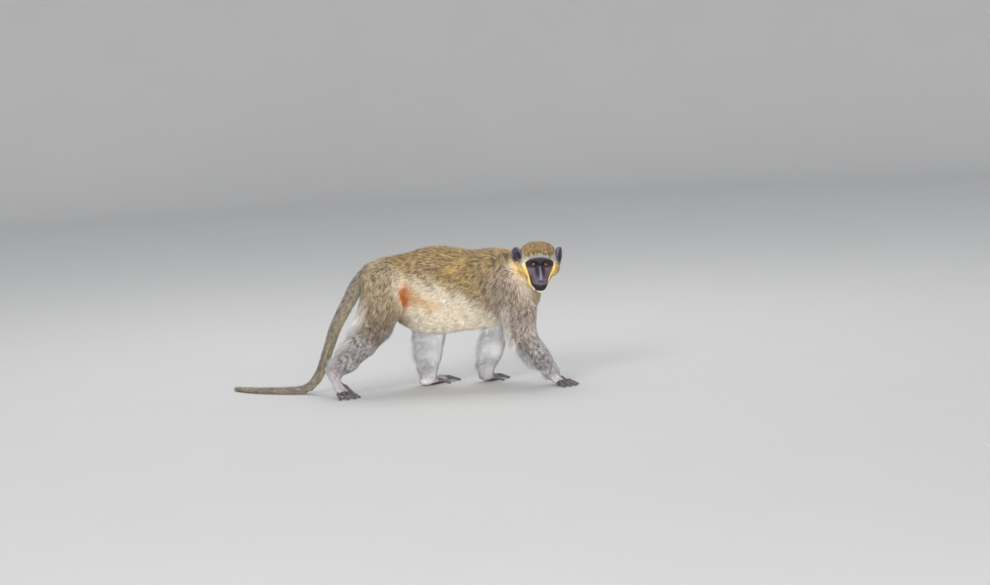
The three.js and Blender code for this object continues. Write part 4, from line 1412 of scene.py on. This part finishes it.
# Which coat piece each point belongs to, from its nearest region and where it is there.
def coatPieceOf(p, normal, owner, place):
    number = {name: i for i, name in enumerate(coatNames)}
    group = np.full(len(p), number["coatNeck"])
    trunk = owner == 0
    group[trunk] = np.where(p[trunk, 1] < 0, number["coatBackRight"], number["coatBackLeft"])
    group[trunk & (normal[:, 2] < -0.25) & (p[:, 2] < 200)] = number["coatBelly"]
    group[trunk & (p[:, 0] > 150)] = number["coatNeck"]
    q = intoHead(p)
    cheeks = q[:, 2] < 8 - 0.15 * q[:, 0]
    group[owner == 2] = np.where(cheeks, number["coatCheeks"], number["coatCrown"])[owner == 2]
    hind = (owner == 3) | (owner == 4)
    fore = (owner == 5) | (owner == 6)
    place = place + 0.1 * edgeNoise(p)
    group[hind] = np.where(place[hind] < 0.98, number["coatThighs"], number["coatShanks"])
    group[fore] = np.where(place[fore] < 0.98, number["coatArms"], number["coatForearms"])
    group[owner == 7] = number["coatTail"]
    return group


# Sum over the regions of share times value; a value is a number or one per point.
def byShare(shares, values):
    return sum(shares[:, i] * values[i] for i in range(len(values)))


# A region's value at each point, by the place along the limbs or the tail.
def limbValues(places, key):
    return [np.interp(places[:, c], lie["limb"]["place"], lie["limb"][key]) for c in range(3, 7)]


def tailValue(places, key):
    return np.interp(places[:, 7], (0, 1), lie["tail"][key])


# Where the head's tufts are longer: cheeks and nape, and shorter: round the face, most at the brow.
def headLength(q):
    across, u, f = np.abs(q[:, 1]), q[:, 2], q[:, 0]
    cheek = ramp(across, 18, 30) * (1 - ramp(u, -4, 10))
    rear = ramp(-f, 55, 85)
    length = mixed(lie["head"]["length"], lie["cheekLength"], cheek)
    length = mixed(length, lie["napeLength"], rear)
    fringe = np.clip(faceFringe(q) * 1.6, 0, 1)
    short = mixed(lie["fringeLength"], lie["browLength"], ramp(u, 2, 10))
    return mixed(length, short, fringe)


# Direction that the hair points in, before it is laid on the surface.
def lieOfCoat(p, normal, shares, places):
    q = intoHead(p)
    ones = np.ones(len(p))
    side = np.abs(normal[:, 1])
    behind = ramp(-p[:, 0], 95, 150)
    trunkWay = np.stack([-ones + 0.5 * behind, 0 * ones, -0.42 * side - 0.75 * behind], axis=1)
    front = ramp(p[:, 0], 160, 215)
    trunkWay = trunkWay + front[:, None] * np.array([0.5, 0, -0.7])
    neckWay = np.stack([-0.65 * ones, 0 * ones, -0.2 - 1.1 * side], axis=1)
    across = np.sign(q[:, 1])
    cheek = ramp(np.abs(q[:, 1]), 16, 28) * (1 - ramp(q[:, 2], 0, 16))
    chin = ramp(-q[:, 2], 44, 54) * ramp(q[:, 0], -30, -10)
    brow = ramp(q[:, 2], 6, 12) * (1 - ramp(q[:, 2], 24, 38)) * ramp(q[:, 0], -40, -24)
    sweep = -0.18 + 0.3 * ramp(-q[:, 2], 8, 40)
    headWay = np.stack([-ones, 0 * ones, 0.1 - 0.4 * ramp(-q[:, 0], 50, 90)], axis=1)
    headWay = headWay + cheek[:, None] * np.stack([0.3 * ones, across * 0.6, sweep], axis=1)
    headWay = headWay + chin[:, None] * np.array([0.6, 0, -0.9])
    headWay = headWay + brow[:, None] * np.stack([0.1 * ones, q[:, 1] * 0.012, 0.9 * ones], axis=1)
    ways = [unit(trunkWay), unit(neckWay), unit(headWay) @ headTurn.T]
    for column, limb in enumerate(limbs.values(), 3):
        ahead = axisPoint(limb, places[:, column] + 0.12) - axisPoint(limb, places[:, column] - 0.12)
        ways.append(unit(unit(ahead) + np.array([-0.28, 0, -0.12])))
    ahead = pointAlong(places[:, 7] + 0.03, tailPlaces, tailLine)
    ways.append(unit(ahead - pointAlong(places[:, 7] - 0.03, tailPlaces, tailLine)))
    way = sum(shares[:, i : i + 1] * ways[i] for i in range(len(ways)))
    way = way - normal * np.einsum("ij,ij->i", way, normal)[:, None]
    return unit(way)


# Point of a limb's middle line at a place along it.
def axisPoint(limb, place):
    return pointAlong(place, limb["axisPlaces"], limb["axis"])


# Place of a point on a flat unwrap of its region: along it and round it, or longitude and latitude
# on the head.
def unwrap(p, owner, place):
    along = p[:, 0] / 460
    around = np.arctan2(p[:, 1], p[:, 2] - 215) / (2 * math.pi)
    q = intoHead(p) - np.array([-38, 0, -8])
    onHead = owner == 2
    size = np.linalg.norm(q, axis=1)
    along = np.where(onHead, np.arctan2(q[:, 1], q[:, 0]) / (2 * math.pi), along)
    around = np.where(onHead, np.arcsin(np.clip(q[:, 2] / size, -1, 1)) / math.pi, around)
    for column, limb in enumerate(limbs.values(), 3):
        mine = owner == column
        offset = p[mine] - axisPoint(limb, place[mine])
        way = unit(axisPoint(limb, place[mine] + 0.15) - axisPoint(limb, place[mine] - 0.15))
        across = np.array([0.0, 1.0, 0.0])
        other = np.cross(way, across)
        around[mine] = np.arctan2(offset @ across, np.einsum("ij,ij->i", offset, other)) / (2 * math.pi)
        along[mine] = place[mine] / 4.4 + (1 if limb["side"] > 0 else 0)
    mine = owner == 7
    offset = p[mine] - pointAlong(place[mine], tailPlaces, tailLine)
    around[mine] = np.arctan2(offset[:, 1], offset[:, 0] + offset[:, 2]) / (2 * math.pi)
    along[mine] = place[mine]
    return along, around


# Roots spread over the skin in proportion to the wanted density, none on bare skin.
def tuftRoots():
    points, triangles, normals = skinPoints, skinTriangles, skinNormals
    a, b, c = cornersOf(points, triangles)
    centre = (a + b + c) / 3
    area = np.linalg.norm(np.cross(b - a, c - a), axis=1) / 2
    normal = unit(normals[triangles].sum(axis=1))
    _, distances, places = inBlocks(lambda block: outline(block, parts=True), centre)
    shares = sharesOf(distances, 6)
    owner = shares.argmax(axis=1)
    place = places[np.arange(len(centre)), owner]
    densities = [lie["trunk"]["density"], lie["neck"]["density"], lie["head"]["density"]]
    densities += limbValues(places, "density") + [lie["tail"]["density"]]
    density = byShare(shares, densities)
    q = intoHead(centre)
    bare = bareFace(q) * (distances[:, 2] < 12)
    onLimb = (owner >= 3) & (owner < 7)
    palm = onLimb & (place > 2.12) & ((normal[:, 2] < 0.1) | (centre[:, 2] < 5))
    ends = onLimb & (place > 3.55)
    buried = (distances[:, 2] < -26) | (centre[:, 2] < 1.5)
    density = density * (bare < 0.45) * ~palm * ~ends * ~buried
    group = coatPieceOf(centre, normal, owner, place)
    weight = area * density
    total = np.array([weight[group == g].sum() for g in range(len(coatNames))])
    share = total / total.sum()
    for _ in range(6):
        wanted = np.minimum(share * tuft["total"], tuft["most"])
        share = share * (1 + (tuft["total"] - wanted.sum()) / tuft["total"] * (wanted < tuft["most"]))
    roots = {}
    for g, name in enumerate(coatNames):
        mine = np.flatnonzero((group == g) & (weight > 0))
        count = int(wanted[g] * (tuft["fine"] if name in fineCoats else 1))
        steps = np.cumsum(weight[mine])
        at = (np.arange(count) + draws.random(count)) / count * steps[-1]
        chosen = mine[np.minimum(np.searchsorted(steps, at), len(mine) - 1)]
        u, v = draws.random((2, count))
        over = u + v > 1
        u, v = np.where(over, 1 - u, u), np.where(over, 1 - v, v)
        mix = np.stack([1 - u - v, u, v], axis=1)[:, :, None]
        roots[name] = ((points[triangles[chosen]] * mix).sum(axis=1),
                       unit((normals[triangles[chosen]] * mix).sum(axis=1)))
        print("roots,", name, count, "on", int(area[mine].sum() / 100), "cm2")
    return roots


# Newton step to a level of the outline, by differences ahead only.
def toLevel(p, level):
    value = outline(p)
    slope = np.stack([outline(p + step) - value for step in np.eye(3) * 0.5], axis=1) / 0.5
    steep = np.maximum(np.einsum("ij,ij->i", slope, slope), 0.3)
    return p + slope * (np.clip(level - value, -14, 14) / steep)[:, None]


# 1 close to the hollow in front of either ear, falling to 0.
def nearEar(p):
    q = intoHead(p)
    offset = np.stack([q[:, 0], np.abs(q[:, 1]), q[:, 2]], axis=1) - np.array(earRoom["place"])
    return 1 - ramp(np.linalg.norm(offset, axis=1), earRoom["radius"] - 2, earRoom["radius"] + 10)


# How far past the outline the tips stand: fringes behind the limbs, on the cheeks and the chin, and
# where long pale hairs stand out, behind the thighs.
def fringeOf(p, normal, shares, places):
    q = intoHead(p)
    limbShare = shares[:, 3:7].sum(axis=1)
    place = byShare(shares[:, 3:7], [places[:, c] for c in range(3, 7)]) / np.maximum(limbShare, tiny)
    rear = ramp(-normal[:, 0], 0.35, 0.8) * ramp(place, 0.1, 0.5) * (1 - ramp(place, 1.75, 2.1))
    ahead = ramp(normal[:, 0], 0.5, 0.9) * ramp(place, 0.3, 0.8) * (1 - ramp(place, 1.5, 1.9))
    cheek = ramp(np.abs(q[:, 1]), 22, 36) * (1 - ramp(q[:, 2], 0, 16)) * ramp(-q[:, 0], 30, 48)
    crown = ramp(q[:, 2], 21, 25) * (1 - ramp(q[:, 2], 30, 42)) * ramp(q[:, 0], -46, -28)
    wisps = limbShare * ramp(-normal[:, 0], 0.45, 0.85) * ramp(place, 0.15, 0.6) * (1 - ramp(place, 1.5, 1.9))
    chin = faceFringe(q) * ramp(-q[:, 2], 36, 48)
    belly = ramp(-normal[:, 2], 0.7, 0.95) * shares[:, 0]
    head = cheek * fringes["cheek"] + crown * fringes["crown"] + chin * fringes["chin"]
    limb = limbShare * (rear * fringes["rear"] + ahead * fringes["ahead"])
    return limb + shares[:, 2] * head + belly * fringes["belly"], wisps


# Corners of tufts: a ring of three at the root, a ring of three half way and the tip.
def tuftCorners(root, middle, tip, normal, half):
    corners = []
    for centre, toward, width in (
        (root, middle - root, half),
        (middle, tip - root, half * tuft["middleWidth"]),
    ):
        ahead = unit(toward)
        aside = unit(np.cross(normal, ahead))
        above = np.cross(ahead, aside)
        for angle in (math.pi / 2, math.pi * 7 / 6, math.pi * 11 / 6):
            corners.append(centre + aside * (width * math.cos(angle))[:, None]
                           + above * (width * tuft["flat"] * math.sin(angle))[:, None])
    return np.stack(corners + [tip], axis=1)


# Colours of those corners: darker at the root, painted shade deep in the coat over the hair's darker base,
# less so in pale fur, and lighter at the tip.
def tuftTones(colour, tipColour):
    pale = ramp(colour.mean(axis=1), 0.3, 0.75)[:, None]
    root = mixed(tuft["rootShade"], tuft["paleRootShade"], pale)
    middle = mixed(tuft["middleShade"], tuft["paleMiddleShade"], pale)
    corners = [colour * root] * 3 + [colour * middle] * 3 + [tipColour * tuft["tipShade"]]
    return np.stack(corners, axis=1)


# Corners, colours and map places of the tufts at some roots: each leaves the skin along the
# hair's own way and is drawn to a level of the outline half way along and at its tip.
def tuftsAt(indices, roots, normals, chance, width):
    p, normal, chance = roots[indices], normals[indices], chance[indices]
    value, distances, places = outline(p, parts=True)
    depth = np.maximum(-value, 0.3)
    shares = sharesOf(distances, 12)
    tone = markings(p, normal, distances, places)
    length = byShare(shares, [lie["trunk"]["length"], lie["neck"]["length"], headLength(intoHead(p))]
                     + limbValues(places, "length") + [tailValue(places, "length")])
    half = byShare(shares, [lie["trunk"]["half"], lie["neck"]["half"], lie["head"]["half"]]
                   + limbValues(places, "half") + [tailValue(places, "half")]) * width
    fringe, wisps = fringeOf(p, normal, shares, places)
    wisp = wisps * (chance[:, 5] > 1 - tuft["wispy"])  # long pale hairs that stand out on their own
    half = half * (1 - 0.4 * wisp)
    way = lieOfCoat(p, normal, sharesOf(distances, 20), places)
    side = np.cross(normal, way)
    swing = (lockNoise(p) * 0.13 + edgeNoise(p * 0.8) * 0.1 + (chance[:, 0] - 0.5) * 0.46)[:, None]
    way = unit(way + side * swing)
    length = length * (0.78 + 0.44 * chance[:, 1]) * (1 + 0.1 * patchNoise(p) * 0.7) + fringe * 1.5
    length = length * (1 + 0.35 * wisp) * (1 - 0.5 * nearEar(p))
    rise = depth * (0.75 + 0.45 * chance[:, 2]) + 0.35 + fringe * chance[:, 3] * 1.2
    rise = rise + wisp * (2 + 6 * chance[:, 3])
    middle = p + way * (length * 0.5)[:, None] + normal * (rise * 0.5)[:, None]
    tip = p + way * length[:, None] + normal * rise[:, None]
    middle = toLevel(middle, rise * 0.55 - depth)
    tip = toLevel(tip, rise - depth)
    root = p - normal * np.minimum(0.8, depth * 0.5)[:, None]
    low = np.minimum(middle[:, 2], tip[:, 2])
    middle[:, 2] = np.where(low < 0.3, np.maximum(middle[:, 2], 0.4), middle[:, 2])
    tip[:, 2] = np.maximum(tip[:, 2], 0.3)
    # Ticked coat: some locks end dark, some end light and yellow, as the hairs are banded.
    tick = tone[:, 3]
    fineness = 1 + 0.45 * shares[:, 2] + 0.3 * shares[:, 7]
    draw = 0.5 + 0.46 * tickNoise(p * fineness[:, None]) + 0.4 * (chance[:, 4] - 0.5)
    dark = (1 - ramp(draw, *tuft["darkBelow"])) * tick
    light = ramp(draw, *tuft["lightAbove"]) * tick
    drift = 1 + 0.12 * (chance[:, 5] - 0.5) + 0.05 * patchNoise(p)
    colour = tone[:, :3] * drift[:, None] * np.maximum(1 - 0.56 * dark + 0.26 * light, 0.3)[:, None]
    tipColour = colour * np.maximum(1 - 0.5 * dark, 0.3)[:, None]
    tipColour = tipColour * (1 + light[:, None] * np.array([0.4, 0.35, 0.22]))
    pale = np.clip(fringe / 9, 0, 0.45) * shares[:, 3:7].sum(axis=1)
    pale = np.maximum(pale, 0.75 * wisp)
    colour = mixed(colour, tones["white"][:3], (0.5 * wisp)[:, None])
    tipColour = mixed(tipColour, tones["white"][:3], pale[:, None])
    owner = sharesOf(distances, 6).argmax(axis=1)
    along, around = unwrap(p, owner, places[np.arange(len(p)), owner])
    return (tuftCorners(root, middle, tip, normal, half), tuftTones(colour, tipColour),
            np.stack([along, around], axis=1))


# Short hairs on the back and the rim of both ears, pointing past the rim.
def earTufts():
    found = []
    for points, triangles, normals in ears:
        row = triangles.min(axis=1) // ear["columns"]
        corners = points[triangles]
        size = np.linalg.norm(np.cross(corners[:, 1] - corners[:, 0], corners[:, 2] - corners[:, 0]), axis=1)
        size = size * ((row > 3) & (row < 22)) * (1 + 1.0 * (row > 14))
        picked = draws.choice(len(triangles), tuft["onEar"], p=size / size.sum())
        chance = draws.random((tuft["onEar"], 4))
        first = triangles[picked, 0]
        beyond = np.minimum(first + 3 * ear["columns"], len(points) - 3)
        p = corners[picked].mean(axis=1)
        normal = normals[first]
        way = unit(unit(points[beyond] - points[first]) + np.array([0, 0, 1.2]) + (chance[:, :1] - 0.5) * 0.4)
        way = unit(way - normal * np.einsum("ij,ij->i", way, normal)[:, None])
        length = (2.6 + 2.4 * chance[:, 1])[:, None]
        middle = p + way * length * 0.5 + normal * 0.35
        tip = p + way * length + normal * (0.2 + 0.7 * chance[:, 2:3])
        colour = tones["earHair"][:3] * (0.7 + 0.6 * chance[:, 3:4])
        along, around = unwrap(p, np.full(len(p), 2), np.zeros(len(p)))
        found.append((tuftCorners(p - normal * 0.3, middle, tip, normal, np.full(len(p), 0.26)),
                      tuftTones(colour, colour * 1.2), np.stack([along, around], axis=1)))
    return tuple(np.concatenate(part) for part in zip(*found))


fineTriangles = np.array([(0, 1, 3), (1, 2, 3), (2, 0, 3), (0, 2, 1)])
tuftTriangles = np.array([(0, 1, 4), (0, 4, 3), (1, 2, 5), (1, 5, 4), (2, 0, 3), (2, 3, 5),
                          (3, 4, 6), (4, 5, 6), (5, 3, 6), (0, 2, 1)])
tuftPatch = np.array([(-1, -1), (1, -1), (0, -0.6), (-1, 0.1), (1, 0.1), (0, 0.2), (0, 1)])


# One piece of coat from its roots, with a patch on the map for each tuft.
def makeCoat(name, roots, normals):
    count = len(roots)
    chance = draws.random((count, 6))
    fine = name in fineCoats
    width = tuft["fineWidth"] if fine else 1
    made = inBlocks(lambda i: tuftsAt(i, roots, normals, chance, width), np.arange(count), 6000)
    corners, colours, places = made
    if name == "coatCrown":
        corners, colours, places = (np.concatenate(pair) for pair in zip(made, earTufts()))
        count = len(corners)
    shape, patches = tuftTriangles, tuftPatch
    if fine:
        kept = [0, 1, 2, 6]
        corners, colours, shape, patches = corners[:, kept], colours[:, kept], fineTriangles, tuftPatch[kept]
    step = corners.shape[1]
    triangles = (shape[None] + step * np.arange(count)[:, None, None]).reshape(-1, 3)
    piece = makePiece(name, corners.reshape(-1, 3), triangles, coatMaterialMade,
                      colours.reshape(-1, 3))
    low, high = places.min(axis=0), places.max(axis=0)
    spots = 0.01 + 0.98 * (places - low) / (high - low)
    patch = spots[:, None, :] + patches[None] * tuft["patch"]
    layer = piece.data.uv_layers.new(name="OFBake")
    layer.data.foreach_set("uv", patch.reshape(-1, 2)[triangles.reshape(-1)].astype(np.float32).reshape(-1))
    print("coat,", name, count, "tufts")


coatMaterialMade = coatMaterial("furCoat", 0.62)
for name, (roots, normals) in tuftRoots().items():
    makeCoat(name, roots, normals)


stage = {
    "flat": 6.6,  # radius of the level floor, metres
    "bend": 1.6,
    "top": 3.2,
    "rows": 24,
    "columns": 128,
    "tone": (0.5, 0.495, 0.485, 1),
}


# A round floor that bends up into a low wall: a disc, a quarter circle and a straight rise, turned
# about the upright axis.
def makeFloor():
    turned = np.linspace(0, math.pi / 2, stage["rows"] - 4)
    wall = stage["flat"] + stage["bend"]
    radius = np.concatenate([[0.02, 3, 5], stage["flat"] + stage["bend"] * np.sin(turned), [wall]])
    height = np.concatenate([[0, 0, 0], stage["bend"] * (1 - np.cos(turned)), [stage["top"]]])
    angle = np.linspace(0, 2 * math.pi, stage["columns"], endpoint=False)
    points = np.stack([radius[:, None] * np.cos(angle), radius[:, None] * np.sin(angle),
                       height[:, None] * np.ones_like(angle)], axis=-1).reshape(-1, 3)
    points = np.concatenate([points, [(0, 0, 0), (0, 0, 0)]])
    triangles = tubeTriangles(stage["rows"], stage["columns"])[: -stage["columns"]]
    mesh = bpy.data.meshes.new("floor")
    mesh.from_pydata(points[:-1].tolist(), [], triangles.tolist())
    mesh.polygons.foreach_set("use_smooth", np.ones(len(triangles), bool))
    material, wire, inputs, place = newMaterial("paleFloor", Roughness=0.85)
    tone = wire.of(wire.node("ShaderNodeRGB"))
    tone.socket.default_value = stage["tone"]
    wire.put(inputs["Base Color"], tone.shaded(noiseAt(wire, place, 3) * 0.04 + 0.98))
    mesh.materials.append(material)
    floor = bpy.data.objects.new("floor", mesh)
    bpy.context.scene.collection.objects.link(floor)


lamps = {  # place, size, watts, colour
    "key": ((-3.4, -6.2, 3.9), 2.8, 290, (1.0, 0.97, 0.93)),
    "fill": ((0.8, -6.1, 0.5), 1.0, 280, (0.98, 0.98, 1.0)),
    "top": ((0.2, 1.2, 2.8), 1.6, 34, (1.0, 0.99, 0.97)),
}
world = {"tone": (0.88, 0.91, 0.96, 1), "strength": 0.85}
aim = (0.05, 0, 0.18)


# Puts a lamp at a place, turned towards a target.
def pointAt(thing, place, target):
    thing.location = place
    thing.rotation_euler = (Vector(target) - Vector(place)).to_track_quat("-Z", "Y").to_euler()


# Two large soft lamps on the near side, one above and a pale sky.
def makeLight():
    for name, (place, size, watts, colour) in lamps.items():
        light = bpy.data.lights.new(name, "AREA")
        light.size, light.energy, light.color = size, watts, colour
        lamp = bpy.data.objects.new(name, light)
        bpy.context.scene.collection.objects.link(lamp)
        pointAt(lamp, place, aim)
    sky = bpy.data.worlds.new("softSky")
    sky.use_nodes = True
    background = sky.node_tree.nodes["Background"]
    background.inputs["Color"].default_value = world["tone"]
    background.inputs["Strength"].default_value = world["strength"]
    bpy.context.scene.world = sky
    bpy.context.scene.view_settings.view_transform = "Standard"


camera = {
    "target": (0.224, -0.0028, 0.213),
    "down": 6.0,  # degrees below level that it looks
    "roll": 3.2,
    "distance": 5.6,
    "frameWidth": 2.277,  # metres across the frame at the target
    "sensor": 36,
}


# Camera square to the body's side, a little above it, turned about its own line of sight.
def makeCamera():
    down, roll = math.radians(camera["down"]), math.radians(camera["roll"])
    ahead = Vector((0, math.cos(down), -math.sin(down)))
    up = Vector((0, math.sin(down), math.cos(down)))
    right = Vector((1, 0, 0))
    turnedRight = right * math.cos(roll) - up * math.sin(roll)
    turnedUp = up * math.cos(roll) + right * math.sin(roll)
    data = bpy.data.cameras.new("camera")
    data.sensor_width = camera["sensor"]
    data.lens = camera["sensor"] * camera["distance"] / camera["frameWidth"]
    lens = bpy.data.objects.new("camera", data)
    turn = Matrix((turnedRight, turnedUp, -ahead)).transposed().to_4x4()
    lens.matrix_world = Matrix.Translation(Vector(camera["target"]) - ahead * camera["distance"]) @ turn
    bpy.context.scene.collection.objects.link(lens)
    bpy.context.scene.camera = lens


makeFloor()
makeLight()
makeCamera()
print("stage made")
